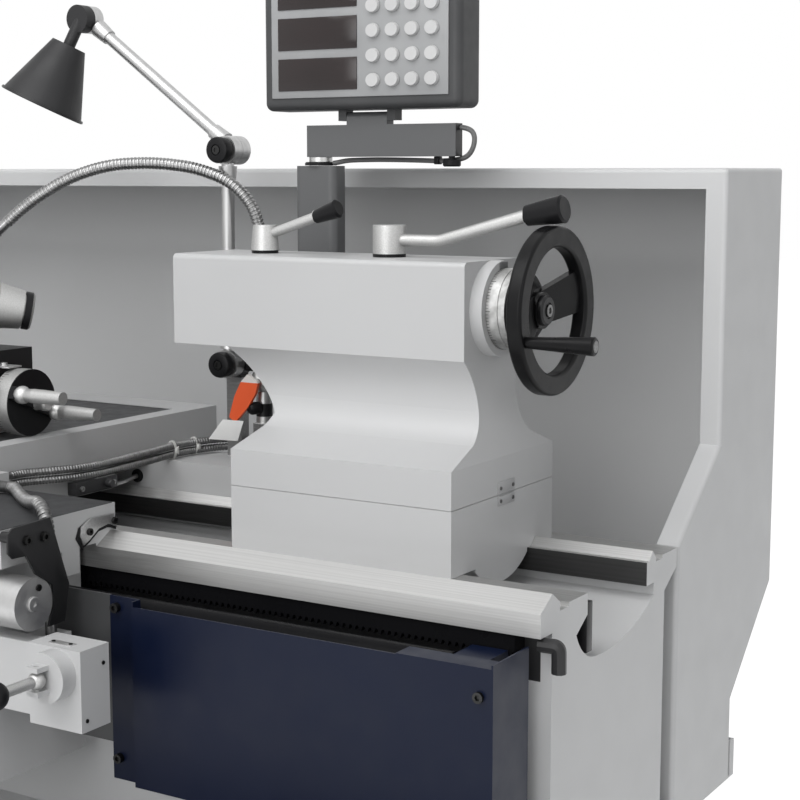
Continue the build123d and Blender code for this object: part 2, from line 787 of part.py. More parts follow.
# Bed: two rails on walls, tied by ribs, with a chip trough at the tailstock end
front_rail = (
    (-FRONT_WALL_OUT, bed_bottom),
    (-FRONT_WALL_OUT, flat - FRONT_LIP),
    (-FRONT_FACE, flat - FRONT_LIP),
    (-FRONT_FACE, flat + FRONT_V_FOOT),
    (-FRONT_V_CREST, flat + FRONT_V_RISE),
    (-FRONT_V_INNER, flat + FRONT_V_INNER_FOOT),
    (-FRONT_V_INNER, flat - WAY_GROOVE),
    (-FRONT_FLAT_OUT, flat - WAY_GROOVE),
    (-FRONT_FLAT_OUT, flat),
    (-FRONT_FLAT_IN, flat),
    (-FRONT_FLAT_IN, flat - FRONT_LIP),
    (-FRONT_WALL_IN, flat - FRONT_UNDERCUT),
    (-FRONT_WALL_IN, bed_bottom),
)
rear_rail = (
    (REAR_WALL_IN, bed_bottom),
    (REAR_WALL_IN, flat - REAR_RAIL_DEPTH),
    (REAR_RAIL_IN, flat - REAR_RAIL_DEPTH),
    (REAR_RAIL_IN, flat),
    (REAR_V_CREST - REAR_V_HALF, flat),
    (REAR_V_CREST, flat + REAR_V_RISE),
    (REAR_V_CREST + REAR_V_HALF, flat),
    (REAR_V_CREST + REAR_V_HALF, flat - WAY_GROOVE),
    (REAR_FLAT_IN, flat - WAY_GROOVE),
    (REAR_FLAT_IN, flat),
    (REAR_FACE, flat),
    (REAR_FACE, flat - REAR_LIP),
    (REAR_WALL_OUT, flat - REAR_UNDERCUT),
    (REAR_WALL_OUT, bed_bottom),
)
trough_left = bed_right - TROUGH_LENGTH
trough_top = flat - TROUGH_DEPTH
trough_base = flat - TROUGH_BASE
trough_span = (-FRONT_WALL_IN, REAR_WALL_IN)
rib_count = int((BED_LENGTH - TROUGH_LENGTH) / RIB_PITCH)
with BuildPart() as bed:
    for rail in (front_rail, rear_rail):
        prism(Plane.YZ.offset(bed_left), rail, BED_LENGTH)
    with BuildSketch(Plane.YZ.offset(trough_left)):
        with BuildLine():
            rear_arc = ThreePointArc(
                (REAR_WALL_IN, flat - TROUGH_REAR),
                ((REAR_WALL_IN - TROUGH_LOW_Y) / 2 + 12, trough_top + 6),
                (-TROUGH_LOW_Y, trough_top),
            )
            front_arc = TangentArc(
                rear_arc @ 1, (-FRONT_WALL_IN, flat - FRONT_UNDERCUT), tangent=rear_arc % 1
            )
            Polyline(
                front_arc @ 1,
                (-FRONT_WALL_IN, trough_base),
                (REAR_WALL_IN, trough_base),
                rear_arc @ 0,
            )
        make_face()
    extrude(amount=TROUGH_LENGTH)
    block((bed_right - END_WALL, bed_right), trough_span, (bed_bottom, trough_base))
    for rib in range(rib_count):
        rib_left = bed_left + rib * RIB_PITCH
        block((rib_left, rib_left + RIB_THICKNESS), trough_span, (bed_bottom, trough_top))
    for foot_left in (bed_left, bed_right - BED_FOOT_LENGTH):
        block(
            (foot_left, foot_left + BED_FOOT_LENGTH),
            (-BED_FOOT_FRONT, BED_FOOT_BACK),
            (bed_bottom, bed_bottom + BED_FOOT_HEIGHT),
        )
save(bed, "bed")

# Feed rack: toothed bar bolted under the front rail
rack_left = head_right + RACK_END_GAP
rack_top = flat - FRONT_LIP
rack_bottom = rack_top - RACK_HEIGHT
rack_teeth = int((bed_right - RACK_END_GAP - rack_left) / RACK_PITCH)
rack_outline = [(rack_left + rack_teeth * RACK_PITCH, rack_top), (rack_left, rack_top)]
for tooth in range(rack_teeth):
    tooth_left = rack_left + tooth * RACK_PITCH
    rack_outline += [
        (tooth_left, rack_bottom + RACK_TOOTH),
        (tooth_left + 0.2 * RACK_PITCH, rack_bottom),
        (tooth_left + 0.5 * RACK_PITCH, rack_bottom),
        (tooth_left + 0.7 * RACK_PITCH, rack_bottom + RACK_TOOTH),
    ]
rack_outline.append((rack_left + rack_teeth * RACK_PITCH, rack_bottom + RACK_TOOTH))
rack_back = FRONT_WALL_OUT + RAIL_CLEAR
with BuildPart() as feed_rack:
    prism(Plane.XZ.offset(rack_back), rack_outline, RACK_WIDTH)
save(feed_rack, "feed_rack")

# Shaft bracket at the tailstock end of the leadscrew and feed rod
bracket_right = bed_right - BRACKET_INSET
bracket_left = bracket_right - BRACKET_THICKNESS
leadscrew_z = flat - LEADSCREW_DROP
feed_rod_z = flat - FEED_ROD_DROP
with BuildPart() as shaft_bracket:
    block(
        (bracket_left, bracket_right),
        (-BRACKET_FRONT, -FRONT_WALL_OUT),
        (flat - BRACKET_BOTTOM, rack_bottom - RAIL_CLEAR),
    )
    block(
        (bracket_left, bracket_right),
        (-BRACKET_FRONT, -FRONT_FACE - RAIL_CLEAR),
        (rack_bottom - RAIL_CLEAR, flat - BRACKET_TOP),
    )
    for z, radius in ((leadscrew_z, LEADSCREW_JOURNAL), (feed_rod_z, FEED_ROD_RADIUS)):
        bar(
            (bracket_left, SCREW_Y, z),
            (1, 0, 0),
            SHAFT_SEAT,
            radius + RUN_GAP,
            Mode.SUBTRACT,
        )
save(shaft_bracket, "shaft_bracket")

# Sheet guard over the leadscrew: front panel, floor, end plate, cover plate and a screwed tab
guard_right = bed_right - SCREW_GUARD_INSET
guard_left = guard_right - SCREW_GUARD_LENGTH
guard_front = -SCREW_GUARD_FRONT
guard_back = guard_front + SCREW_GUARD_SHEET
guard_floor = flat - SCREW_GUARD_BOTTOM
plate_top = flat - SCREW_GUARD_PLATE_DROP
guard_rail_side = -FRONT_FACE - RAIL_CLEAR
tab_back = guard_front + SCREW_GUARD_TAB_STEP + SCREW_GUARD_SHEET
tab_top = flat - SCREW_GUARD_TOP + SCREW_GUARD_TAB_RISE
with BuildPart() as screw_guard:
    block((guard_left, guard_right), (guard_front, guard_back), (guard_floor, flat - SCREW_GUARD_TOP))
    block(
        (guard_left, guard_right),
        (guard_front, -FRONT_WALL_OUT),
        (guard_floor, guard_floor + SCREW_GUARD_SHEET),
    )
    block(
        (guard_right - SCREW_GUARD_SHEET, guard_right),
        (guard_front, guard_rail_side),
        (guard_floor, flat - SCREW_GUARD_END_TOP),
    )
    block(
        (guard_right - SCREW_GUARD_PLATE, guard_right),
        (guard_front, guard_front + SCREW_GUARD_PLATE_DEPTH),
        (plate_top - SCREW_GUARD_SHEET, plate_top),
    )
    block(
        (guard_left, guard_left + SCREW_GUARD_SHEET),
        (guard_front, tab_back),
        (guard_floor, tab_top),
    )
    block(
        (guard_left - SCREW_GUARD_TAB, guard_left),
        (tab_back - SCREW_GUARD_SHEET, tab_back),
        (guard_floor, tab_top),
    )
save(screw_guard, "screw_guard")

# Splash guard: folded back panel with a roof and rim, and a wing at the tailstock end
guard_y = REAR_REACH - SHEET
roof_front = REAR_REACH - GUARD_ROOF_DEPTH
guard_top = flat + GUARD_TOP
slant_top = flat - GUARD_KINK
slant_y = REAR_REACH - GUARD_SLANT_OUT
slant_foot = slant_top - GUARD_SLANT_DROP
guard_section = (
    (roof_front, guard_top - GUARD_RIM),
    (roof_front, guard_top),
    (REAR_REACH, guard_top),
    (REAR_REACH, slant_top),
    (slant_y, slant_foot),
    (slant_y, bed_bottom),
    (slant_y - SHEET, bed_bottom),
    (slant_y - SHEET, slant_foot + SHEET),
    (guard_y, slant_top + SHEET),
    (guard_y, guard_top - SHEET),
    (roof_front + SHEET, guard_top - SHEET),
    (roof_front + SHEET, guard_top - GUARD_RIM),
)
wing_outline = (
    (roof_front, guard_top),
    (roof_front, flat + WING_SLANT_TOP),
    (WING_SLANT_FOOT_Y, flat),
    (WING_SLANT_FOOT_Y, bed_bottom),
    (slant_y, bed_bottom),
    (slant_y, slant_foot),
    (REAR_REACH, slant_top),
    (REAR_REACH, guard_top),
)
wing_flange_outline = (
    (roof_front, guard_top),
    (roof_front, flat + WING_SLANT_TOP),
    (WING_SLANT_FOOT_Y, flat),
    (WING_SLANT_FOOT_Y, bed_bottom),
    (WING_SLANT_FOOT_Y + SHEET, bed_bottom),
    (WING_SLANT_FOOT_Y + SHEET, flat - SHEET / 2),
    (roof_front + SHEET, flat + WING_SLANT_TOP - SHEET / 2),
    (roof_front + SHEET, guard_top),
)
with BuildPart() as splash_guard:
    prism(Plane.YZ.offset(head_right), guard_section, bed_right - head_right)
    prism(Plane.YZ.offset(bed_right - SHEET), wing_outline, SHEET)
    prism(Plane.YZ.offset(bed_right - WING_FLANGE), wing_flange_outline, WING_FLANGE)
    folds = splash_guard.faces().sort_by(Axis.X)[-1].edges().sort_by(Axis.Z)[1:]
    folds += splash_guard.faces().sort_by(Axis.Z)[-1].edges().sort_by(Axis.Y)[:1]
    fillet(folds, GUARD_EDGE)
save(splash_guard, "splash_guard")

# Headstock: hollow casting on two pads, bored for the spindle, the input shaft and the controls
head_bottom = flat + HEAD_LIFT
head_top = axis_z + HEAD_RISE
input_z = axis_z - INPUT_PULLEY_DROP
speed_z = axis_z + SPEED_LEVER_RISE
cover_right = bed_left - COVER_GAP
stop_x = bed_left + STOP_BUTTON_X
stop_z = axis_z + STOP_BUTTON_RISE
with BuildPart() as headstock:
    block((bed_left, head_right), (-HEAD_FRONT, HEAD_BACK), (head_bottom, head_top))
    fillet(headstock.edges().filter_by(Axis.Z), HEAD_CORNER)
    fillet(headstock.faces().sort_by(Axis.Z)[-1].edges(), HEAD_CORNER)
    for pad in ((-FRONT_FLAT_OUT, -FRONT_FLAT_IN), (REAR_FLAT_IN, REAR_FACE)):
        block((bed_left, head_right), pad, (flat, head_bottom))
    block(
        (bed_left + HEAD_WALL, head_right - HEAD_WALL),
        (-HEAD_FRONT + HEAD_WALL, HEAD_BACK - HEAD_WALL),
        (head_bottom + HEAD_WALL, head_top - HEAD_WALL),
        Mode.SUBTRACT,
    )
    bar((bed_left, 0, axis_z), (1, 0, 0), HEAD_WALL, SPINDLE_TAIL + RUN_GAP, Mode.SUBTRACT)
    bar((head_right, 0, axis_z), (-1, 0, 0), HEAD_WALL, SPINDLE_NOSE_BEARING + RUN_GAP, Mode.SUBTRACT)
    bar(
        (bed_left, INPUT_PULLEY_Y, input_z),
        (1, 0, 0),
        HEAD_WALL,
        INPUT_SHAFT_RADIUS + RUN_GAP,
        Mode.SUBTRACT,
    )
    for lever_x in (SPEED_LEVER_LEFT, SPEED_LEVER_RIGHT):
        bar(
            (bed_left + lever_x, -HEAD_FRONT, speed_z),
            (0, 1, 0),
            HEAD_WALL,
            SPEED_PIN_RADIUS + RUN_GAP,
            Mode.SUBTRACT,
        )
    bar((stop_x, -HEAD_FRONT, stop_z), (0, 1, 0), HEAD_WALL, STOP_STEM_RADIUS + SLIDE_GAP, Mode.SUBTRACT)
    for height in HINGE_HEIGHTS:
        knuckle_foot = (cover_right, COVER_BACK, height - HINGE_KNUCKLE_HALF)
        block(
            (cover_right + HINGE_SIDE_GAP, cover_right + HINGE_ARM_REACH),
            (HEAD_BACK - HINGE_ARM_SINK, COVER_BACK),
            (height - HINGE_KNUCKLE_HALF, height + HINGE_KNUCKLE_HALF),
        )
        bar(knuckle_foot, (0, 0, 1), 2 * HINGE_KNUCKLE_HALF, HINGE_RADIUS)
        bar(knuckle_foot, (0, 0, 1), 2 * HINGE_KNUCKLE_HALF, HINGE_PIN + RUN_GAP, Mode.SUBTRACT)
save(headstock, "headstock")

# Spindle: hollow, with a bearing journal at each wall and a flanged nose
spindle_tail_x = cover_left + SHEET + COVER_TAIL_GAP
spindle_profile = (
    (0, SPINDLE_BORE),
    (0, SPINDLE_TAIL),
    (bed_left + HEAD_WALL - spindle_tail_x, SPINDLE_TAIL),
    (bed_left + HEAD_WALL - spindle_tail_x, SPINDLE_MIDDLE),
    (head_right - HEAD_WALL - spindle_tail_x, SPINDLE_MIDDLE),
    (head_right - HEAD_WALL - spindle_tail_x, SPINDLE_NOSE_BEARING),
    (nose_x - SPINDLE_FLANGE_DEPTH - spindle_tail_x, SPINDLE_NOSE_BEARING),
    (nose_x - SPINDLE_FLANGE_DEPTH - spindle_tail_x, SPINDLE_FLANGE),
    (nose_x - spindle_tail_x, SPINDLE_FLANGE),
    (nose_x - spindle_tail_x, SPINDLE_BORE),
)
with BuildPart() as spindle:
    turned((spindle_tail_x, 0, axis_z), (1, 0, 0), spindle_profile)
save(spindle, "spindle")

# Chuck: a slotted disc on the spindle nose, with three stepped jaws
chuck_face = nose_x + CHUCK_DEPTH
chuck_profile = (
    (0, CHUCK_HOLE),
    (0, CHUCK_RADIUS),
    (CHUCK_DEPTH - CHUCK_BEVEL, CHUCK_RADIUS),
    (CHUCK_DEPTH, CHUCK_RADIUS - CHUCK_BEVEL),
    (CHUCK_DEPTH, CHUCK_HOLE),
)
jaw_angles = [90 + index * 360 / JAW_COUNT for index in range(JAW_COUNT)]


def jaw_plane(angle, x):
    """A plane across the spindle whose first axis points out along one jaw."""
    out = (0, math.cos(math.radians(angle)), math.sin(math.radians(angle)))
    return Plane(origin=(x, 0, axis_z), x_dir=out, z_dir=(1, 0, 0))


def jaw_strip(inner, outer, width):
    """The four corners of a radial strip."""
    return ((inner, -width / 2), (outer, -width / 2), (outer, width / 2), (inner, width / 2))


with BuildPart() as chuck_body:
    turned((nose_x, 0, axis_z), (1, 0, 0), chuck_profile)
    for angle in jaw_angles:
        prism(
            jaw_plane(angle, chuck_face - JAW_SLOT_DEPTH),
            jaw_strip(JAW_SLOT_INNER, 2 * CHUCK_RADIUS, JAW_WIDTH),
            JAW_SLOT_DEPTH,
            Mode.SUBTRACT,
        )
save(chuck_body, "chuck_body")

jaw_base = chuck_face - JAW_SLOT_DEPTH + SLIDE_GAP
jaw_width = JAW_WIDTH - 2 * SLIDE_GAP
for index, angle in enumerate(jaw_angles):
    with BuildPart() as chuck_jaw:
        prism(
            jaw_plane(angle, jaw_base),
            jaw_strip(JAW_INNER, JAW_INNER + JAW_LENGTH, jaw_width),
            chuck_face + JAW_STEP_HEIGHT - jaw_base,
        )
        prism(
            jaw_plane(angle, chuck_face),
            jaw_strip(JAW_INNER, JAW_INNER + JAW_STEP, jaw_width),
            JAW_HEIGHT,
        )
    save(chuck_jaw, f"chuck_jaw_{index + 1}")

# Belt drive: motor in the cabinet, two pulleys and the belt band under the end cover
belt_right = bed_left - BELT_INSET
belt_left = belt_right - BELT_WIDTH
with BuildPart() as drive_motor:
    bar((motor_left, MOTOR_Y, MOTOR_Z), (1, 0, 0), MOTOR_LENGTH, MOTOR_RADIUS)
    block((motor_left, motor_left + MOTOR_LENGTH), motor_foot, (motor_shelf, MOTOR_Z))
save(drive_motor, "drive_motor")

with BuildPart() as motor_pulley:
    bar((belt_left, MOTOR_Y, MOTOR_Z), (1, 0, 0), BELT_WIDTH, MOTOR_PULLEY_RADIUS)
    bar((belt_right, MOTOR_Y, MOTOR_Z), (1, 0, 0), motor_left - SLIDE_GAP - belt_right, MOTOR_SHAFT_RADIUS)
save(motor_pulley, "motor_pulley")

input_shaft_end = bed_left + HEAD_WALL
with BuildPart() as input_pulley:
    bar((belt_left, INPUT_PULLEY_Y, input_z), (1, 0, 0), BELT_WIDTH, INPUT_PULLEY_RADIUS)
    bar(
        (belt_right, INPUT_PULLEY_Y, input_z),
        (1, 0, 0),
        input_shaft_end - belt_right,
        INPUT_SHAFT_RADIUS,
    )
save(input_pulley, "input_pulley")


def belt_outline(growth):
    """The band round both pulleys, this far outside their rims."""
    with BuildSketch(Plane.YZ.offset(belt_left)) as outline:
        with Locations((MOTOR_Y, MOTOR_Z)):
            Circle(MOTOR_PULLEY_RADIUS + growth)
        with Locations((INPUT_PULLEY_Y, input_z)):
            Circle(INPUT_PULLEY_RADIUS + growth)
        make_hull()
    return outline.sketch


with BuildPart() as drive_belts:
    extrude(belt_outline(BELT_THICKNESS), amount=BELT_WIDTH)
    extrude(belt_outline(SLIDE_GAP), amount=BELT_WIDTH, mode=Mode.SUBTRACT)
save(drive_belts, "drive_belts")

# End cover: a deep sheet door over the drive, with a hole for bar stock and two hinges at the back
cover_top = axis_z + COVER_RISE
with BuildPart() as end_cover:
    block((cover_left, cover_right), (-COVER_FRONT, COVER_BACK), (COVER_BOTTOM, cover_top))
    fillet(end_cover.edges().filter_by(Axis.X), COVER_CORNER)
    block(
        (cover_left + SHEET, cover_right),
        (-COVER_FRONT + SHEET, COVER_BACK - SHEET),
        (COVER_BOTTOM + SHEET, cover_top - SHEET),
        Mode.SUBTRACT,
    )
    bar((cover_left, 0, axis_z), (1, 0, 0), SHEET, COVER_HOLE, Mode.SUBTRACT)
    for height in HINGE_HEIGHTS:
        notch_half = HINGE_KNUCKLE_HALF + SLIDE_GAP
        block(
            (cover_right - HINGE_NOTCH, cover_right),
            (COVER_BACK - HINGE_NOTCH, COVER_BACK),
            (height - notch_half, height + notch_half),
            Mode.SUBTRACT,
        )
        for barrel_z in (height - notch_half - HINGE_BARREL, height + notch_half):
            bar((cover_right, COVER_BACK, barrel_z), (0, 0, 1), HINGE_BARREL, HINGE_RADIUS)
        pin_length = 2 * (notch_half + HINGE_BARREL)
        pin_foot = (cover_right, COVER_BACK, height - pin_length / 2)
        bar(pin_foot, (0, 0, 1), pin_length, HINGE_PIN)
save(end_cover, "end_cover")

# Speed levers: hub, leaning arm and ball, turning on a pin in the headstock front
for name, lever_x, tilt in (
    ("speed_lever_left", SPEED_LEVER_LEFT, -SPEED_ARM_TILT),
    ("speed_lever_right", SPEED_LEVER_RIGHT, SPEED_ARM_TILT),
):
    hub_back = (bed_left + lever_x, -HEAD_FRONT - SLIDE_GAP, speed_z)
    arm_base = (hub_back[0], hub_back[1] - SPEED_HUB_DEPTH / 2, speed_z)
    lean = Vector(math.sin(math.radians(tilt)), -0.15, math.cos(math.radians(tilt))).normalized()
    with BuildPart() as speed_lever:
        bar(hub_back, (0, -1, 0), SPEED_HUB_DEPTH, SPEED_HUB_RADIUS)
        bar(hub_back, (0, 1, 0), SPEED_PIN_LENGTH, SPEED_PIN_RADIUS)
        bar(arm_base, lean, SPEED_ARM_LENGTH, SPEED_ARM_RADIUS)
        ball(Vector(*arm_base) + lean * SPEED_ARM_LENGTH, SPEED_BALL_RADIUS)
    save(speed_lever, name)

# Stop button: a mushroom cap on a stem in the headstock front
cap_back = -HEAD_FRONT - STOP_TRAVEL_GAP
with BuildPart() as stop_button:
    bar((stop_x, cap_back, stop_z), (0, -1, 0), STOP_CAP_DEPTH, STOP_CAP_RADIUS)
    bar((stop_x, cap_back, stop_z), (0, 1, 0), STOP_STEM_LENGTH, STOP_STEM_RADIUS)
save(stop_button, "stop_button")

# Feed gearbox on the bed front, with seats for the two shafts
gearbox_left = bed_left + GEARBOX_INSET
gearbox_right = gearbox_left + GEARBOX_LENGTH
with BuildPart() as feed_gearbox:
    block(
        (gearbox_left, gearbox_right),
        (-GEARBOX_FRONT, -FRONT_WALL_OUT),
        (flat - GEARBOX_BOTTOM, flat - GEARBOX_TOP),
    )
    fillet(feed_gearbox.faces().sort_by(Axis.Y)[0].edges(), GEARBOX_CORNER)
    for z, radius in ((leadscrew_z, LEADSCREW_RADIUS), (feed_rod_z, FEED_ROD_RADIUS)):
        bar(
            (gearbox_right, SCREW_Y, z),
            (-1, 0, 0),
            SHAFT_SEAT,
            radius + RUN_GAP,
            Mode.SUBTRACT,
        )
save(feed_gearbox, "feed_gearbox")

# Leadscrew and feed rod, running from the gearbox to the end bracket
shaft_left = gearbox_right - SHAFT_SEAT + SLIDE_GAP
shaft_length = bracket_left + SHAFT_SEAT - SLIDE_GAP - shaft_left
thread_length = bracket_left - RAIL_CLEAR - shaft_left
with BuildPart() as leadscrew:
    bar((shaft_left, SCREW_Y, leadscrew_z), (1, 0, 0), shaft_length, LEADSCREW_JOURNAL)
    bar((shaft_left, SCREW_Y, leadscrew_z), (1, 0, 0), thread_length, LEADSCREW_RADIUS)
save(leadscrew, "leadscrew")

with BuildPart() as feed_rod:
    bar((shaft_left, SCREW_Y, feed_rod_z), (1, 0, 0), shaft_length, FEED_ROD_RADIUS)
save(feed_rod, "feed_rod")

# Saddle: a front wing over the carriage V, a bridge and rear foot, and the cross dovetail
saddle_right = bed_right - SADDLE_FROM_END
saddle_left = saddle_right - SADDLE_LENGTH
saddle_top = flat + SADDLE_TOP
bridge_x = bed_right - BRIDGE_FROM_END
bridge_span = (bridge_x - BRIDGE_WIDTH / 2, bridge_x + BRIDGE_WIDTH / 2)
waist_span = (bridge_span[0], bridge_span[1] - BRIDGE_WAIST)
wing_under = flat + WING_UNDER
flank_share = (WING_BACK - FRONT_V_INNER) / (FRONT_V_CREST - FRONT_V_INNER)
flank_rise = FRONT_V_INNER_FOOT + flank_share * (FRONT_V_RISE - FRONT_V_INNER_FOOT)
front_wing = (
    (-SADDLE_FRONT, wing_under),
    (-SADDLE_FRONT, saddle_top),
    (-WING_BACK, saddle_top),
    (-WING_BACK, flat + flank_rise + SADDLE_LIFT),
    (-FRONT_V_CREST, flat + FRONT_V_RISE + SADDLE_LIFT),
    (-FRONT_FACE, flat + FRONT_V_FOOT + SADDLE_LIFT),
    (-FRONT_FACE - RAIL_CLEAR, wing_under),
)


def dovetail(base, half, flare, height, gap):
    """A dovetail outline about the origin, standing on base; a gap widens it into a slot."""
    return (
        (-half - gap, base),
        (-half - flare - gap, base + height),
        (half + flare + gap, base + height),
        (half + gap, base),
    )


cross_plane = Plane(origin=(bridge_x, 0, saddle_top), x_dir=(1, 0, 0), z_dir=(0, -1, 0))
with BuildPart() as saddle:
    prism(Plane.YZ.offset(saddle_left), front_wing, SADDLE_LENGTH)
    block(bridge_span, (-WING_BACK, BRIDGE_STEP), (flat + BRIDGE_UNDER, saddle_top))
    block(waist_span, (BRIDGE_STEP, BRIDGE_BACK), (flat + BRIDGE_UNDER, saddle_top))
    block(waist_span, (REAR_FLAT_IN, BRIDGE_BACK), (flat + SLIDE_GAP, flat + BRIDGE_UNDER))
    block((waist_span[1], saddle_right), (REAR_WING_FRONT, BRIDGE_BACK), (flat + SLIDE_GAP, flat + RAIL_TOP))
    prism(
        cross_plane.offset(-BRIDGE_BACK),
        dovetail(0, CROSS_DOVE_HALF, CROSS_DOVE_FLARE, CROSS_DOVE_HEIGHT, 0),
        BRIDGE_BACK + CROSS_DOVE_FRONT,
    )
    block(
        (saddle_right - KEEPER_LENGTH, saddle_right),
        (-KEEPER_FRONT, -KEEPER_BACK),
        (wing_under - KEEPER_DROP, wing_under),
    )
    block(
        (bed_right - JUNCTION_LEFT, bed_right - JUNCTION_LEFT + JUNCTION_WIDTH),
        (-JUNCTION_FRONT, -JUNCTION_FRONT + JUNCTION_LENGTH),
        (saddle_top, saddle_top + JUNCTION_HEIGHT),
    )
    bar(
        (bridge_x, -SADDLE_FRONT, flat + CRANK_Z),
        (0, 1, 0),
        CRANK_PIN_LENGTH + SLIDE_GAP,
        CONTROL_PIN_RADIUS + RUN_GAP,
        Mode.SUBTRACT,
    )
save(saddle, "saddle")

# Apron: the box under the saddle front, with the joystick box at its right
apron_right = saddle_right - APRON_RIGHT_INSET
apron_left = apron_right - APRON_LENGTH
apron_bottom = flat - APRON_DEPTH
stick_box_right = apron_right + STICK_BOX_REACH
stick_box_left = stick_box_right - STICK_BOX_LENGTH
stick_x = stick_box_right - STICK_INSET
stick_collar_y = -STICK_BOX_FRONT - STICK_COLLAR_DEPTH
stick_pivot = (
    stick_x,
    stick_collar_y - STICK_PIVOT_GAP - STICK_PIVOT_BALL,
    flat - STICK_DROP,
)
conduit_gland_left = bed_right - CONDUIT_GLAND_LEFT
conduit_gland_top = flat - CONDUIT_GLAND_TOP
wheel_x = apron_right - APRON_WHEEL_X
wheel_z = flat - APRON_WHEEL_DROP
nut_x = apron_right - NUT_LEVER_X
nut_z = flat - NUT_LEVER_DROP
with BuildPart() as apron:
    block((apron_left, apron_right), (-APRON_FRONT, -APRON_BACK), (apron_bottom, wing_under))
    block(
        (stick_box_left, stick_box_right),
        (-STICK_BOX_FRONT, -STICK_BOX_BACK),
        (flat - STICK_BOX_BOTTOM, flat - STICK_BOX_TOP),
    )
    block(
        (apron_right - STICK_BOX_OVERLAP, stick_box_left),
        (-APRON_FRONT, -STICK_BOX_BACK),
        (flat - STICK_BOX_BOTTOM, flat - STICK_NECK_TOP),
    )
    bar(
        (stick_x, -STICK_BOX_FRONT, flat - STICK_DROP),
        (0, -1, 0),
        STICK_COLLAR_DEPTH,
        STICK_COLLAR,
    )
    for ear in ((STICK_EAR_INNER, STICK_EAR_OUTER), (-STICK_EAR_OUTER, -STICK_EAR_INNER)):
        block(
            (stick_pivot[0] - STICK_EAR_HALF, stick_pivot[0] + STICK_EAR_HALF),
            (stick_collar_y - STICK_EAR_REACH, stick_collar_y),
            (stick_pivot[2] + ear[0], stick_pivot[2] + ear[1]),
        )
    bar(
        (stick_pivot[0], stick_pivot[1], stick_pivot[2] - STICK_EAR_OUTER),
        (0, 0, 1),
        2 * STICK_EAR_OUTER,
        STICK_PIN_RADIUS + RUN_GAP,
        Mode.SUBTRACT,
    )
    block(
        (conduit_gland_left, conduit_gland_left + CONDUIT_GLAND_LENGTH),
        (-STICK_BOX_BACK, -CONDUIT_GLAND_BACK),
        (conduit_gland_top - CONDUIT_GLAND_HEIGHT, conduit_gland_top),
    )
    block(
        (apron_right, apron_right + APRON_PLATE_LENGTH),
        (-APRON_PLATE_FRONT, -APRON_PLATE_FRONT + APRON_PLATE_SHEET),
        (flat - APRON_PLATE_BOTTOM, flat - APRON_PLATE_TOP),
    )
    for z, radius in ((leadscrew_z, LEADSCREW_RADIUS), (feed_rod_z, FEED_ROD_RADIUS)):
        bar(
            (apron_left, SCREW_Y, z),
            (1, 0, 0),
            APRON_LENGTH,
            radius + APRON_ROD_GAP,
            Mode.SUBTRACT,
        )
    for x, z in ((wheel_x, wheel_z), (nut_x, nut_z)):
        bar(
            (x, -APRON_FRONT, z),
            (0, 1, 0),
            CONTROL_PIN_LENGTH + SLIDE_GAP,
            CONTROL_PIN_RADIUS + RUN_GAP,
            Mode.SUBTRACT,
        )
save(apron, "apron")

# Feed clutch: a bright cylinder on the apron's right side
with BuildPart() as feed_clutch:
    bar((apron_right, CLUTCH_Y, flat - CLUTCH_DROP), (1, 0, 0), CLUTCH_LENGTH, CLUTCH_RADIUS)
save(feed_clutch, "feed_clutch")

# Feed joystick: a ball-ended stick on an upright pin between the two ears of its box
with BuildPart() as feed_joystick:
    ball(stick_pivot, STICK_PIVOT_BALL)
    pin_foot = (stick_pivot[0], stick_pivot[1], stick_pivot[2] - STICK_PIN_HALF)
    bar(pin_foot, (0, 0, 1), 2 * STICK_PIN_HALF, STICK_PIN_RADIUS)
    bar(stick_pivot, (0, -1, 0), STICK_LENGTH, STICK_RADIUS)
    ball((stick_pivot[0], stick_pivot[1] - STICK_LENGTH, stick_pivot[2]), STICK_BALL)
save(feed_joystick, "feed_joystick")

# Apron handwheel: hub, spokes, round rim and a grip
wheel_hub = (wheel_x, -APRON_FRONT - SLIDE_GAP, wheel_z)
wheel_rim_y = wheel_hub[1] - APRON_HUB_LENGTH + APRON_WHEEL_RIM
rim_middle = APRON_WHEEL_RADIUS - APRON_WHEEL_RIM
rim_turns = [math.tau * facet / APRON_RIM_FACETS for facet in range(APRON_RIM_FACETS)]
apron_rim = [
    (APRON_WHEEL_RIM * math.cos(turn), rim_middle + APRON_WHEEL_RIM * math.sin(turn))
    for turn in rim_turns
]
with BuildPart() as apron_handwheel:
    bar(wheel_hub, (0, -1, 0), APRON_HUB_LENGTH, APRON_HUB_RADIUS)
    bar(wheel_hub, (0, 1, 0), CONTROL_PIN_LENGTH, CONTROL_PIN_RADIUS)
    turned((wheel_x, wheel_rim_y, wheel_z), (0, -1, 0), apron_rim)
    for spoke in range(APRON_SPOKE_COUNT):
        turn = math.radians(30 + spoke * 360 / APRON_SPOKE_COUNT)
        bar(
            (wheel_x, wheel_rim_y, wheel_z),
            (math.cos(turn), 0, math.sin(turn)),
            rim_middle,
            APRON_SPOKE,
        )
    bar(
        (wheel_x, wheel_rim_y, wheel_z + rim_middle),
        (0, -1, 0),
        APRON_GRIP_CLEAR,
        APRON_GRIP_NECK,
    )
    bar(
        (wheel_x, wheel_rim_y - APRON_GRIP_CLEAR, wheel_z + rim_middle),
        (0, -1, 0),
        APRON_GRIP_LENGTH - APRON_GRIP_CLEAR,
        APRON_GRIP_RADIUS,
    )
save(apron_handwheel, "apron_handwheel")

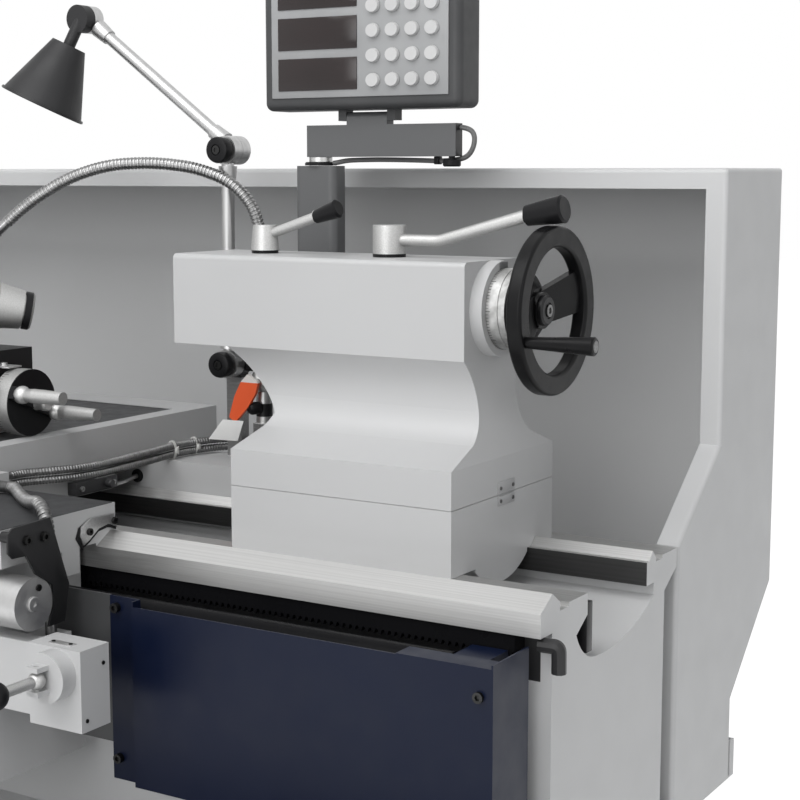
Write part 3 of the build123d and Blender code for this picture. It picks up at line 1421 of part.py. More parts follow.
# Half-nut lever
nut_hub = (nut_x, -APRON_FRONT - SLIDE_GAP, nut_z)
nut_arm = Vector(nut_hub[0], nut_hub[1] - NUT_HUB_DEPTH / 2, nut_z)
nut_lean = Vector(-0.35, -0.12, -0.93).normalized()
with BuildPart() as half_nut_lever:
    bar(nut_hub, (0, -1, 0), NUT_HUB_DEPTH, NUT_HUB_RADIUS)
    bar(nut_hub, (0, 1, 0), CONTROL_PIN_LENGTH, CONTROL_PIN_RADIUS)
    bar(nut_arm, nut_lean, NUT_ARM_LENGTH, NUT_ARM_RADIUS)
    ball(nut_arm + nut_lean * NUT_ARM_LENGTH, NUT_BALL_RADIUS)
save(half_nut_lever, "half_nut_lever")

# Cross slide: a block over the dovetail, with a shallow recess round the compound's seat
cross_top = flat + CROSS_TOP
cross_span = (bridge_x - CROSS_WIDTH / 2, bridge_x + CROSS_WIDTH / 2)
with BuildPart() as cross_slide:
    block(cross_span, (-CROSS_FRONT, CROSS_BACK), (saddle_top + SLIDE_GAP, cross_top))
    prism(
        cross_plane.offset(-CROSS_BACK),
        dovetail(0, CROSS_DOVE_HALF, CROSS_DOVE_FLARE, CROSS_DOVE_HEIGHT + SLIDE_GAP, DOVE_SIDE_GAP),
        CROSS_BACK + CROSS_FRONT,
        Mode.SUBTRACT,
    )
    block(
        (cross_span[0] + CROSS_RIM, cross_span[1] - CROSS_RIM),
        (-CROSS_FRONT + CROSS_RIM_FRONT, CROSS_BACK - CROSS_RIM_BACK),
        (cross_top - CROSS_RECESS, cross_top),
        Mode.SUBTRACT,
    )
    seat_foot = (bed_right - COMPOUND_FROM_END, COMPOUND_Y, cross_top - CROSS_RECESS)
    bar(seat_foot, (0, 0, 1), CROSS_RECESS, COMPOUND_RADIUS)
save(cross_slide, "cross_slide")

# Cross-slide crank: dial, hub, arm and grip in front of the saddle
crank_base = (bridge_x, -SADDLE_FRONT - SLIDE_GAP, flat + CRANK_Z)
crank_hub_y = crank_base[1] - CRANK_DIAL_DEPTH
crank_arm_y = crank_hub_y - CRANK_HUB_DEPTH
with BuildPart() as cross_crank:
    bar(crank_base, (0, -1, 0), CRANK_DIAL_DEPTH, CRANK_DIAL_RADIUS)
    bar(crank_base, (0, 1, 0), CRANK_PIN_LENGTH, CONTROL_PIN_RADIUS)
    bar((bridge_x, crank_hub_y, crank_base[2]), (0, -1, 0), CRANK_HUB_DEPTH, CRANK_HUB_RADIUS)
    block(
        (bridge_x - CRANK_ARM_HALF, bridge_x + CRANK_ARM_HALF),
        (crank_arm_y - CRANK_ARM_THICKNESS, crank_arm_y),
        (crank_base[2] - CRANK_ARM_WIDTH / 2, crank_base[2] + CRANK_ARM_WIDTH / 2),
    )
    bar(
        (bridge_x + CRANK_ARM_HALF - CRANK_GRIP_RADIUS, crank_arm_y, crank_base[2]),
        (0, -1, 0),
        CRANK_GRIP_LENGTH,
        CRANK_GRIP_RADIUS,
    )
save(cross_crank, "cross_crank")

# Compound base: a swivel disc with the top dovetail
compound_x = bed_right - COMPOUND_FROM_END
disc_bottom = cross_top + SLIDE_GAP
disc_top = disc_bottom + COMPOUND_HEIGHT
top_plane = Plane(origin=(0, COMPOUND_Y, disc_top), x_dir=(0, 1, 0), z_dir=(1, 0, 0))
with BuildPart() as compound_base:
    bar((compound_x, COMPOUND_Y, disc_bottom), (0, 0, 1), COMPOUND_HEIGHT, COMPOUND_RADIUS)
    prism(
        top_plane.offset(compound_x - TOP_DOVE_LENGTH / 2),
        dovetail(0, TOP_DOVE_HALF, TOP_DOVE_FLARE, TOP_DOVE_HEIGHT, 0),
        TOP_DOVE_LENGTH,
    )
save(compound_base, "compound_base")

# Top slide: a slotted block with a wider seat for the tool post
top_left = compound_x - TOP_SLIDE_LENGTH / 2
top_right = compound_x + TOP_SLIDE_LENGTH / 2
top_z = flat + TOP_SLIDE_TOP
seat_z = flat + TOP_BLOCK_TOP
seat_right = top_right - TOP_BLOCK_INSET
top_crank_z = flat + TOP_CRANK_Z
with BuildPart() as top_slide:
    block(
        (top_left, top_right),
        (COMPOUND_Y - TOP_SLIDE_HALF, COMPOUND_Y + TOP_SLIDE_HALF),
        (disc_top + SLIDE_GAP, top_z),
    )
    block(
        (seat_right - TOP_BLOCK_LENGTH, seat_right),
        (COMPOUND_Y - TOP_BLOCK_HALF, COMPOUND_Y + TOP_BLOCK_HALF),
        (top_z, seat_z),
    )
    prism(
        top_plane.offset(top_left),
        dovetail(0, TOP_DOVE_HALF, TOP_DOVE_FLARE, TOP_DOVE_HEIGHT + SLIDE_GAP, DOVE_SIDE_GAP),
        TOP_SLIDE_LENGTH,
        Mode.SUBTRACT,
    )
    bar(
        (top_right, COMPOUND_Y, top_crank_z),
        (-1, 0, 0),
        TOP_SHAFT_LENGTH + SLIDE_GAP,
        TOP_SHAFT_RADIUS + RUN_GAP,
        Mode.SUBTRACT,
    )
save(top_slide, "top_slide")

# Top-slide crank: dial and a bar with a grip at each end
dial_left = top_right + SLIDE_GAP
crank_left = dial_left + TOP_DIAL_DEPTH
crank_tilt = math.radians(TOP_CRANK_TILT)
crank_out = Vector(0, math.cos(crank_tilt), math.sin(crank_tilt))
grip_profile = (
    (0, 0),
    (0, TOP_GRIP_RADIUS - 2),
    (TOP_GRIP_LENGTH / 3, TOP_GRIP_RADIUS),
    (TOP_GRIP_LENGTH, TOP_GRIP_RADIUS - 1),
    (TOP_GRIP_LENGTH, 0),
)
bar_plane = Plane(origin=(crank_left, COMPOUND_Y, top_crank_z), x_dir=crank_out, z_dir=(1, 0, 0))
with BuildPart() as top_crank:
    bar((dial_left, COMPOUND_Y, top_crank_z), (1, 0, 0), TOP_DIAL_DEPTH, TOP_DIAL_RADIUS)
    bar((dial_left, COMPOUND_Y, top_crank_z), (-1, 0, 0), TOP_SHAFT_LENGTH, TOP_SHAFT_RADIUS)
    prism(
        bar_plane,
        jaw_strip(-TOP_CRANK_REACH - TOP_GRIP_RADIUS, TOP_CRANK_REACH + TOP_GRIP_RADIUS, TOP_CRANK_BAR),
        TOP_CRANK_BAR_DEPTH,
    )
    for reach in (-TOP_CRANK_REACH, TOP_CRANK_REACH):
        grip_base = Vector(crank_left + TOP_CRANK_BAR_DEPTH, COMPOUND_Y, top_crank_z) + crank_out * reach
        turned(grip_base, (1, 0, 0), grip_profile)
save(top_crank, "top_crank")

# Tool post: a square block with two tool slots, a clamp nut on top and a slanted boss for the knob
post_x = compound_x - POST_OFFSET
post_bottom = seat_z + SLIDE_GAP
post_top = post_bottom + POST_HEIGHT
slot_span = (post_bottom + POST_SLOT_FLOOR, post_bottom + POST_SLOT_FLOOR + POST_SLOT_HEIGHT)
knob_turn = math.radians(KNOB_TURN)
knob_drop = math.radians(KNOB_DROP)
knob_out = Vector(
    math.cos(knob_drop) * math.cos(knob_turn),
    math.cos(knob_drop) * math.sin(knob_turn),
    -math.sin(knob_drop),
)
knob_seat = Vector(post_x + POST_HALF, COMPOUND_Y + KNOB_Y, post_bottom + KNOB_RISE)
knob_base = knob_seat + knob_out * (KNOB_BOSS_LENGTH + SLIDE_GAP)
with BuildPart() as tool_post:
    block(
        (post_x - POST_HALF, post_x + POST_HALF),
        (COMPOUND_Y - POST_HALF, COMPOUND_Y + POST_HALF),
        (post_bottom, post_top),
    )
    bar(
        knob_seat - knob_out * KNOB_BOSS_DEPTH,
        knob_out,
        KNOB_BOSS_DEPTH + KNOB_BOSS_LENGTH,
        KNOB_BOSS_RADIUS,
    )
    block(
        (post_x - POST_HALF, post_x + POST_HALF),
        (COMPOUND_Y - POST_HALF, COMPOUND_Y - POST_HALF + POST_SLOT_DEPTH),
        slot_span,
        Mode.SUBTRACT,
    )
    block(
        (post_x - POST_HALF, post_x - POST_HALF + POST_SLOT_DEPTH),
        (COMPOUND_Y - POST_HALF, COMPOUND_Y + POST_HALF),
        slot_span,
        Mode.SUBTRACT,
    )
    bar((post_x, COMPOUND_Y, post_top), (0, 0, 1), POST_NUT_HEIGHT, POST_NUT_RADIUS)
    bar(knob_base, -knob_out, KNOB_PIN_LENGTH + 2 * SLIDE_GAP, KNOB_PIN_RADIUS + RUN_GAP, Mode.SUBTRACT)
save(tool_post, "tool_post")

# Tool post knob: a stout tapered handle, a groove and a cap
knob_cap_start = KNOB_BODY_LENGTH + KNOB_GROOVE
knob_end = knob_cap_start + KNOB_CAP_LENGTH
knob_profile = (
    (0, 0),
    (0, KNOB_BODY_RADIUS),
    (KNOB_BODY_LENGTH, KNOB_BODY_END),
    (KNOB_BODY_LENGTH, KNOB_GROOVE_RADIUS),
    (knob_cap_start, KNOB_GROOVE_RADIUS),
    (knob_cap_start, KNOB_CAP_RADIUS),
    (knob_end - KNOB_CHAMFER, KNOB_CAP_RADIUS),
    (knob_end, KNOB_CAP_RADIUS - KNOB_CHAMFER),
    (knob_end, 0),
)
with BuildPart() as tool_post_knob:
    bar(knob_base, -knob_out, KNOB_PIN_LENGTH, KNOB_PIN_RADIUS)
    turned(knob_base, knob_out, knob_profile)
save(tool_post_knob, "tool_post_knob")

# Rear rail: a box bar on the saddle's rear foot, with the lamp stem standing on it
rail_top = flat + RAIL_TOP
lamp_x = bed_right - LAMP_X
lamp_eye_front = LAMP_Y - SLIDE_GAP - LAMP_EYE_DEPTH
lamp_low = Vector(lamp_x, LAMP_Y, flat + LAMP_PIVOT_Z)
lamp_high = lamp_low + Vector(LAMP_LOWER_RUN, 0, LAMP_LOWER_RISE)
lamp_far = lamp_high + Vector(LAMP_UPPER_RUN, 0, LAMP_UPPER_RISE)
lamp_eye_back = LAMP_Y
rear_row = lamp_eye_back + LAMP_EYE_DEPTH / 2
front_row = lamp_eye_front + LAMP_EYE_DEPTH / 2


def eye(centre, start, mode=Mode.ADD):
    """Add a round pivot eye about Y at a joint, from a Y start towards the back."""
    bar((centre.X, start, centre.Z), (0, 1, 0), LAMP_EYE_DEPTH, LAMP_EYE_RADIUS, mode)


def eye_hole(centre, start):
    """Bore a pivot eye for its pin."""
    bar(
        (centre.X, start, centre.Z),
        (0, 1, 0),
        LAMP_EYE_DEPTH,
        LAMP_PIN_RADIUS + RUN_GAP,
        Mode.SUBTRACT,
    )


def pin(centre):
    """Add a pivot pin from a front eye into the eye behind it."""
    bar(
        (centre.X, lamp_eye_front + LAMP_EYE_DEPTH, centre.Z),
        (0, 1, 0),
        LAMP_EYE_DEPTH + SLIDE_GAP,
        LAMP_PIN_RADIUS,
    )


lamp_socket = (
    (LAMP_SOCKET_START, 0),
    (LAMP_SOCKET_START, LAMP_SOCKET_WIDE),
    (LAMP_SOCKET_END, LAMP_SOCKET_NARROW),
    (LAMP_SOCKET_END, 0),
)


def rod_between(first, second, y):
    """Add a lamp rod between two joints in the plane of one row of eyes, with a socket at each end."""
    base = Vector(first.X, y, first.Z)
    along = Vector(second.X, y, second.Z) - base
    out = along.normalized()
    bar(base, out, along.length, LAMP_ROD_RADIUS)
    turned(base, out, lamp_socket)
    turned(base + along, -out, lamp_socket)


with BuildPart() as accessory_rail:
    block(
        (bed_right - RAIL_LEFT, bed_right - RAIL_RIGHT),
        (BRIDGE_BACK, RAIL_BACK),
        (flat + RAIL_BOTTOM, rail_top),
    )
    block(
        (lamp_x - LAMP_STEM_HALF, lamp_x + LAMP_STEM_HALF),
        (lamp_eye_back, lamp_eye_back + LAMP_EYE_DEPTH),
        (rail_top, lamp_low.Z),
    )
    block(
        (bed_right - GLAND_LEFT, bed_right - GLAND_LEFT + GLAND_LENGTH),
        (RAIL_BACK - GLAND_DEPTH, RAIL_BACK),
        (rail_top, rail_top + GLAND_HEIGHT),
    )
    eye(lamp_low, lamp_eye_back)
    eye_hole(lamp_low, lamp_eye_back)
save(accessory_rail, "accessory_rail")

# Lamp: two rods and a shade, on friction pivots about Y
with BuildPart() as lamp_lower_arm:
    rod_between(lamp_low, lamp_high, front_row)
    eye(lamp_low, lamp_eye_front)
    eye(lamp_high, lamp_eye_front)
    pin(lamp_low)
    pin(lamp_high)
save(lamp_lower_arm, "lamp_lower_arm")

with BuildPart() as lamp_upper_arm:
    rod_between(lamp_high, lamp_far, rear_row)
    for joint in (lamp_high, lamp_far):
        eye(joint, lamp_eye_back)
    for joint in (lamp_high, lamp_far):
        eye_hole(joint, lamp_eye_back)
save(lamp_upper_arm, "lamp_upper_arm")

shade_out = Vector(-0.35, -0.25, -0.9).normalized()
shade_top = Vector(lamp_far.X, front_row, lamp_far.Z)
shade_base = shade_top + shade_out * LAMP_SHADE_STEM
shade_profile = (
    (0, 0),
    (0, LAMP_SHADE_NECK),
    (LAMP_SHADE_LENGTH, LAMP_SHADE_RADIUS),
    (LAMP_SHADE_LENGTH, LAMP_SHADE_RADIUS - LAMP_SHADE_WALL),
    (LAMP_SHADE_WALL, LAMP_SHADE_NECK - LAMP_SHADE_WALL),
    (LAMP_SHADE_WALL, 0),
)
with BuildPart() as lamp_head:
    eye(lamp_far, lamp_eye_front)
    pin(lamp_far)
    bar(shade_top, shade_out, LAMP_SHADE_STEM, LAMP_ROD_RADIUS)
    turned(shade_base, shade_out, shade_profile)
save(lamp_head, "lamp_head")

# Coolant valve: a ball valve on a riser from the rail, with a flat lever on its front
valve_x = bed_right - VALVE_X
valve_z = flat + VALVE_Z
valve_front = LAMP_Y - VALVE_BODY_RADIUS - VALVE_STEM_LENGTH
with BuildPart() as coolant_valve:
    bar((valve_x, LAMP_Y, rail_top), (0, 0, 1), flat + VALVE_TOP - rail_top, VALVE_PIPE_RADIUS)
    ball((valve_x, LAMP_Y, valve_z), VALVE_BODY_RADIUS)
    bar((valve_x, LAMP_Y, valve_z), (0, -1, 0), VALVE_BODY_RADIUS + VALVE_STEM_LENGTH, VALVE_STEM_RADIUS)
save(coolant_valve, "coolant_valve")

valve_turn = math.radians(VALVE_LEVER_ANGLE)
valve_out = (math.cos(valve_turn), 0, math.sin(valve_turn))
lever_plane = Plane(origin=(valve_x, valve_front - SLIDE_GAP, valve_z), x_dir=valve_out, z_dir=(0, -1, 0))
lever_outline = (
    (-VALVE_LEVER_HEEL, -VALVE_LEVER_HEEL_HALF),
    (VALVE_LEVER_HEEL, -VALVE_LEVER_WIDE),
    (VALVE_LEVER_LENGTH / 2, -VALVE_LEVER_MIDDLE),
    (VALVE_LEVER_LENGTH, -VALVE_LEVER_NARROW),
    (VALVE_LEVER_LENGTH, VALVE_LEVER_NARROW),
    (VALVE_LEVER_LENGTH / 2, VALVE_LEVER_MIDDLE),
    (VALVE_LEVER_HEEL, VALVE_LEVER_WIDE),
    (-VALVE_LEVER_HEEL, VALVE_LEVER_HEEL_HALF),
)
with BuildPart() as valve_lever:
    prism(lever_plane, lever_outline, VALVE_LEVER_THICKNESS)
    fillet(valve_lever.edges().filter_by(Axis.Y), VALVE_LEVER_ROUND)
save(valve_lever, "valve_lever")

# Coolant hose: a ribbed gooseneck from the valve over to a nozzle by the tool
hose_points = [
    (valve_x, LAMP_Y, flat + VALVE_TOP),
    (valve_x, LAMP_Y, flat + 230),
    (valve_x + 1, LAMP_Y - 3, flat + 290),
    (valve_x + 6, LAMP_Y - 9, flat + 345),
    (valve_x - 3, LAMP_Y - 18, flat + 388),
    (valve_x - 32, LAMP_Y - 28, flat + 418),
    (valve_x - 78, LAMP_Y - 40, flat + 435),
    (valve_x - 136, LAMP_Y - 58, flat + 442),
    (valve_x - 194, LAMP_Y - 81, flat + 439),
    (valve_x - 248, LAMP_Y - 103, flat + 421),
    (valve_x - 298, LAMP_Y - 127, flat + 387),
    (valve_x - 336, LAMP_Y - 146, flat + 350),
]
nozzle_out = (Vector(*hose_points[-1]) - Vector(*hose_points[-2])).normalized()
nozzle_profile = (
    (0, HOSE_BORE / 2),
    (0, HOSE_RADIUS),
    (NOZZLE_LENGTH / 2, HOSE_RADIUS),
    (NOZZLE_LENGTH, NOZZLE_RADIUS),
    (NOZZLE_LENGTH, HOSE_BORE / 2),
)
with BuildPart() as coolant_hose:
    ribbed_tube(cord_path(hose_points), HOSE_RADIUS, HOSE_ROOT, HOSE_BORE, HOSE_PITCH, Vector(0, 1, 0))
    turned(hose_points[-1], nozzle_out, nozzle_profile)
save(coolant_hose, "coolant_hose")

# Conduits: two tied together from the rail to the saddle, and a fat one on to the joystick box
gland_face = bed_right - GLAND_LEFT
gland_y = RAIL_BACK - 2
junction_back = -JUNCTION_FRONT + JUNCTION_LENGTH
junction_right = bed_right - JUNCTION_LEFT + JUNCTION_WIDTH
upper_conduit = [
    (gland_face, gland_y, flat + 66),
    (gland_face - 26, gland_y, flat + 66),
    (gland_face - 48, gland_y + 13, flat + 66),
    (gland_face - 74, gland_y + 12, flat + 65),
    (gland_face - 98, gland_y - 5, flat + 64),
    (gland_face - 116, gland_y - 38, flat + 63),
    (gland_face - 120, gland_y - 80, flat + 63),
    (gland_face - 116, gland_y - 130, flat + 62),
    (gland_face - 110, gland_y - 180, flat + 63),
    (gland_face - 106, gland_y - 235, flat + 63),
    (gland_face - 110, gland_y - 280, flat + 64),
    (gland_face - 124, gland_y - 316, flat + 65),
    (junction_right - 8, junction_back + 32, flat + 65),
    (junction_right - 8, junction_back, flat + 65),
]
conduit_step = 2.2 * CONDUIT_RADIUS
lower_conduit = [(x, y, z - conduit_step) for x, y, z in upper_conduit]
switch_conduit = [
    (junction_right, junction_back - 17, flat + 58),
    (junction_right + 26, junction_back - 17, flat + 58),
    (junction_right + 54, junction_back - 39, flat + 58),
    (junction_right + 86, junction_back - 63, flat + 58),
    (junction_right + 114, junction_back - 82, flat + 61),
    (junction_right + 139, junction_back - 98, flat + 67),
    (junction_right + 158, junction_back - 109, flat + 63),
    (junction_right + 170, junction_back - 115, flat + 48),
    (junction_right + 174, junction_back - 117, flat + 25),
    (junction_right + 173, junction_back - 116, flat - 4),
    (junction_right + 172, junction_back - 116, flat - 38),
    (junction_right + 172, junction_back - 116, conduit_gland_top),
]
with BuildPart() as conduits:
    for route in (upper_conduit, lower_conduit):
        ribbed_tube(
            cord_path(route), CONDUIT_RADIUS, CONDUIT_ROOT, CONDUIT_BORE, CONDUIT_PITCH, Vector(0, 0, 1)
        )
    ribbed_tube(
        cord_path(switch_conduit),
        SWITCH_CONDUIT_RADIUS,
        SWITCH_CONDUIT_ROOT,
        SWITCH_CONDUIT_BORE,
        SWITCH_CONDUIT_PITCH,
        Vector(0, 1, 0),
    )
save(conduits, "conduits")

# Readout post, swivelling arm and tilting console
readout_x = bed_right - READOUT_X
post_half_x = READOUT_POST_WIDTH / 2
with BuildPart() as readout_post:
    block(
        (readout_x - post_half_x, readout_x + post_half_x),
        (LAMP_Y - READOUT_POST_DEPTH / 2, LAMP_Y + READOUT_POST_DEPTH / 2),
        (rail_top, flat + READOUT_POST_TOP),
    )
    fillet(readout_post.edges().filter_by(Axis.Z), READOUT_POST_CORNER)
save(readout_post, "readout_post")

cap_bottom = flat + READOUT_POST_TOP + SLIDE_GAP
beam_bottom = cap_bottom + READOUT_CAP_HEIGHT
beam_top = beam_bottom + READOUT_BEAM_HEIGHT
beam_span = (readout_x - READOUT_BEAM_LEFT, readout_x + READOUT_BEAM_RIGHT)
hinge_z = beam_top + CONSOLE_HINGE
console_right = readout_x + CONSOLE_RIGHT
console_left = console_right - CONSOLE_WIDTH
console_middle = (console_left + console_right) / 2
hinge_left = console_middle - CONSOLE_HINGE_LENGTH / 2
with BuildPart() as readout_arm:
    bar((readout_x, LAMP_Y, cap_bottom), (0, 0, 1), READOUT_CAP_HEIGHT, READOUT_CAP_RADIUS)
    block(
        beam_span,
        (LAMP_Y - READOUT_BEAM_DEPTH / 2, LAMP_Y + READOUT_BEAM_DEPTH / 2),
        (beam_bottom, beam_top),
    )
    bar((hinge_left, LAMP_Y, hinge_z), (1, 0, 0), CONSOLE_HINGE_LENGTH, CONSOLE_HINGE)
    block(
        (hinge_left, hinge_left + CONSOLE_HINGE_LENGTH),
        (LAMP_Y - CONSOLE_HINGE, LAMP_Y + CONSOLE_HINGE),
        (beam_top, hinge_z),
    )
    bar(
        (hinge_left, LAMP_Y, hinge_z),
        (1, 0, 0),
        CONSOLE_HINGE_LENGTH,
        CONSOLE_PIN + RUN_GAP,
        Mode.SUBTRACT,
    )
save(readout_arm, "readout_arm")

console_bottom = beam_top + CONSOLE_LIFT + SLIDE_GAP
with BuildPart() as readout_console:
    block(
        (console_left, console_right),
        (LAMP_Y - CONSOLE_DEPTH / 2, LAMP_Y + CONSOLE_DEPTH / 2),
        (console_bottom, console_bottom + CONSOLE_HEIGHT),
    )
    fillet(readout_console.edges(), CONSOLE_CORNER)
    for lug_left, pin_out in (
        (hinge_left - SLIDE_GAP - CONSOLE_LUG, 1),
        (hinge_left + CONSOLE_HINGE_LENGTH + SLIDE_GAP, -1),
    ):
        block(
            (lug_left, lug_left + CONSOLE_LUG),
            (LAMP_Y - CONSOLE_HINGE, LAMP_Y + CONSOLE_HINGE),
            (hinge_z - CONSOLE_PIN, console_bottom + CONSOLE_CORNER),
        )
        bar(
            (lug_left + CONSOLE_LUG / 2, LAMP_Y, hinge_z),
            (pin_out, 0, 0),
            CONSOLE_LUG / 2 + SLIDE_GAP + CONSOLE_PIN_LENGTH,
            CONSOLE_PIN,
        )
save(readout_console, "readout_console")

# Tailstock base: rests on the front flat and the rear V, with a belly between the rails
tail_right = bed_right - TAIL_FROM_END
tail_left = tail_right - TAIL_LENGTH
tail_joint = flat + TAIL_JOINT
tail_floor = flat + SLIDE_GAP
v_slot = REAR_V_HALF + SLIDE_GAP
with BuildPart() as tailstock_base:
    block((tail_left, tail_right), (-TAIL_HALF, TAIL_HALF), (tail_floor, tail_joint))
    prism(
        Plane.YZ.offset(tail_left),
        (
            (REAR_V_CREST - v_slot, tail_floor),
            (REAR_V_CREST, tail_floor + v_slot * REAR_V_RISE / REAR_V_HALF),
            (REAR_V_CREST + v_slot, tail_floor),
        ),
        TAIL_LENGTH,
        Mode.SUBTRACT,
    )
    with BuildSketch(Plane.YZ.offset(tail_left)):
        with BuildLine():
            belly = ThreePointArc(
                (-BELLY_FRONT, flat - BELLY_TOP),
                ((BELLY_BACK - BELLY_FRONT) / 2, flat - BELLY_DEPTH),
                (BELLY_BACK, flat - BELLY_TOP),
            )
            Polyline(belly @ 1, (BELLY_BACK, tail_floor), (-BELLY_FRONT, tail_floor), belly @ 0)
        make_face()
    extrude(amount=TAIL_LENGTH)
save(tailstock_base, "tailstock_base")

# Tailstock body: a waisted casting that carries the long quill box
ledge_z = flat + TAIL_LEDGE
neck_z = flat + TAIL_NECK_Z
slope_z = flat + TAIL_LEDGE_Z
box_bottom = flat + TAIL_BOX_BOTTOM
box_top = flat + TAIL_BOX_TOP
box_left = tail_left - TAIL_BOX_OUT
box_right = box_left + TAIL_BOX_LENGTH
neck_left = tail_left + TAIL_NECK_INSET
neck_foot = flat + TAIL_NECK_FOOT
flare_left = tail_left - TAIL_NECK_FLARE
lock_x = box_left + LOCK_X
clamp_x = box_left + CLAMP_X


def waist_line(side):
    """One side of the waist seen from the end: ledge, slope and two hollow arcs."""
    lower = ThreePointArc(
        (side * TAIL_LEDGE_HALF, slope_z),
        (side * (TAIL_NECK_HALF + 6), (slope_z + neck_z) / 2 - 1),
        (side * TAIL_NECK_HALF, neck_z),
    )
    upper = TangentArc(lower @ 1, (side * TAIL_BOX_HALF, box_bottom), tangent=lower % 1)
    return lower, upper


with BuildPart() as tailstock_body:
    with BuildSketch(Plane.YZ.offset(box_left)):
        with BuildLine():
            front_lower, front_upper = waist_line(-1)
            rear_lower, rear_upper = waist_line(1)
            Line(front_upper @ 1, rear_upper @ 1)
            Polyline(front_lower @ 0, (-TAIL_HALF, ledge_z), (-TAIL_HALF, tail_joint))
            Line((-TAIL_HALF, tail_joint), (TAIL_HALF, tail_joint))
            Polyline((TAIL_HALF, tail_joint), (TAIL_HALF, ledge_z), rear_lower @ 0)
        make_face()
    extrude(amount=TAIL_BOX_LENGTH + TAIL_FROM_END)
    with BuildSketch(Plane.XZ.offset(TAIL_HALF)) as side_view:
        with BuildLine():
            left_upper = ThreePointArc(
                (flare_left, box_bottom),
                ((flare_left + neck_left) / 2 + TAIL_NECK_BOW, (box_bottom + neck_foot) / 2),
                (neck_left, neck_foot),
            )
            Polyline(
                left_upper @ 1,
                (tail_left, ledge_z),
                (tail_left, tail_joint),
                (tail_right, tail_joint),
                (tail_right, ledge_z),
                (box_right, box_bottom),
                left_upper @ 0,
            )
        make_face()
    extrude(side_view.sketch, amount=-2 * TAIL_HALF, mode=Mode.INTERSECT)
    block((box_left, box_right), (-TAIL_BOX_HALF, TAIL_BOX_HALF), (box_bottom, box_top))
    long_edges = tailstock_body.edges().filter_by(Axis.X).group_by(Axis.Z)[-1]
    fillet(long_edges, TAIL_BOX_CORNER)
    chamfer(tailstock_body.faces().sort_by(Axis.Z)[0].edges(), TAIL_JOINT_CHAMFER)
    bar((box_left, 0, axis_z), (1, 0, 0), TAIL_BOX_LENGTH, QUILL_RADIUS + RUN_GAP, Mode.SUBTRACT)
    for x in (lock_x, clamp_x):
        bar(
            (x, 0, box_top),
            (0, 0, -1),
            LEVER_PIN_LENGTH + SLIDE_GAP,
            LEVER_PIN_RADIUS + RUN_GAP,
            Mode.SUBTRACT,
        )
save(tailstock_body, "tailstock_body")

# End flange on the quill box
with BuildPart() as end_flange:
    bar((box_right, 0, axis_z), (1, 0, 0), FLANGE_DEPTH, FLANGE_RADIUS)
    bar((box_right, 0, axis_z), (1, 0, 0), FLANGE_DEPTH, QUILL_SCREW_RADIUS + RUN_GAP, Mode.SUBTRACT)
save(end_flange, "end_flange")

# Quill: a sleeve with a taper in its nose and a bore for the screw behind
quill_left = box_left - QUILL_OUT
quill_profile = (
    (0, TAPER_MOUTH),
    (0, QUILL_RADIUS),
    (QUILL_LENGTH, QUILL_RADIUS),
    (QUILL_LENGTH, QUILL_SCREW_BORE),
    (TAPER_DEPTH, QUILL_SCREW_BORE),
    (TAPER_DEPTH, TAPER_END),
)
with BuildPart() as quill:
    turned((quill_left, 0, axis_z), (1, 0, 0), quill_profile)
save(quill, "quill")

# Dial: a graduated drum and a smooth locking ring, with the quill screw behind
dial_x = box_right + FLANGE_DEPTH + SLIDE_GAP
with BuildPart() as quill_dial:
    bar((dial_x, 0, axis_z), (1, 0, 0), DIAL_DEPTH, DIAL_RADIUS - DIAL_GROOVE)
    bar((dial_x, 0, axis_z), (1, 0, 0), DIAL_SCALE, DIAL_RADIUS)
    bar((dial_x, 0, axis_z), (-1, 0, 0), QUILL_SCREW_LENGTH, QUILL_SCREW_RADIUS)
save(quill_dial, "quill_dial")

# Tailstock handwheel: coned hub, two flared spokes and a flat-sided rim with rounded edges
tail_wheel_x = tail_right + WHEEL_X
wheel_hub_x = dial_x + DIAL_DEPTH
rim_radius = WHEEL_RADIUS - WHEEL_RIM_WIDTH / 2
grip_turn = math.radians(GRIP_ANGLE)
grip_x = tail_wheel_x + WHEEL_RIM_DEPTH / 2 + SLIDE_GAP
grip_base = (grip_x, rim_radius * math.cos(grip_turn), axis_z + rim_radius * math.sin(grip_turn))
wheel_hub_profile = (
    (0, 0),
    (0, WHEEL_CONE_RADIUS),
    (WHEEL_CONE_FLAT, WHEEL_CONE_RADIUS),
    (WHEEL_CONE_DEPTH, WHEEL_NECK_RADIUS),
    (WHEEL_CONE_DEPTH, WHEEL_HUB_RADIUS),
    (WHEEL_HUB_DEPTH, WHEEL_HUB_RADIUS),
    (WHEEL_HUB_DEPTH, 0),
)
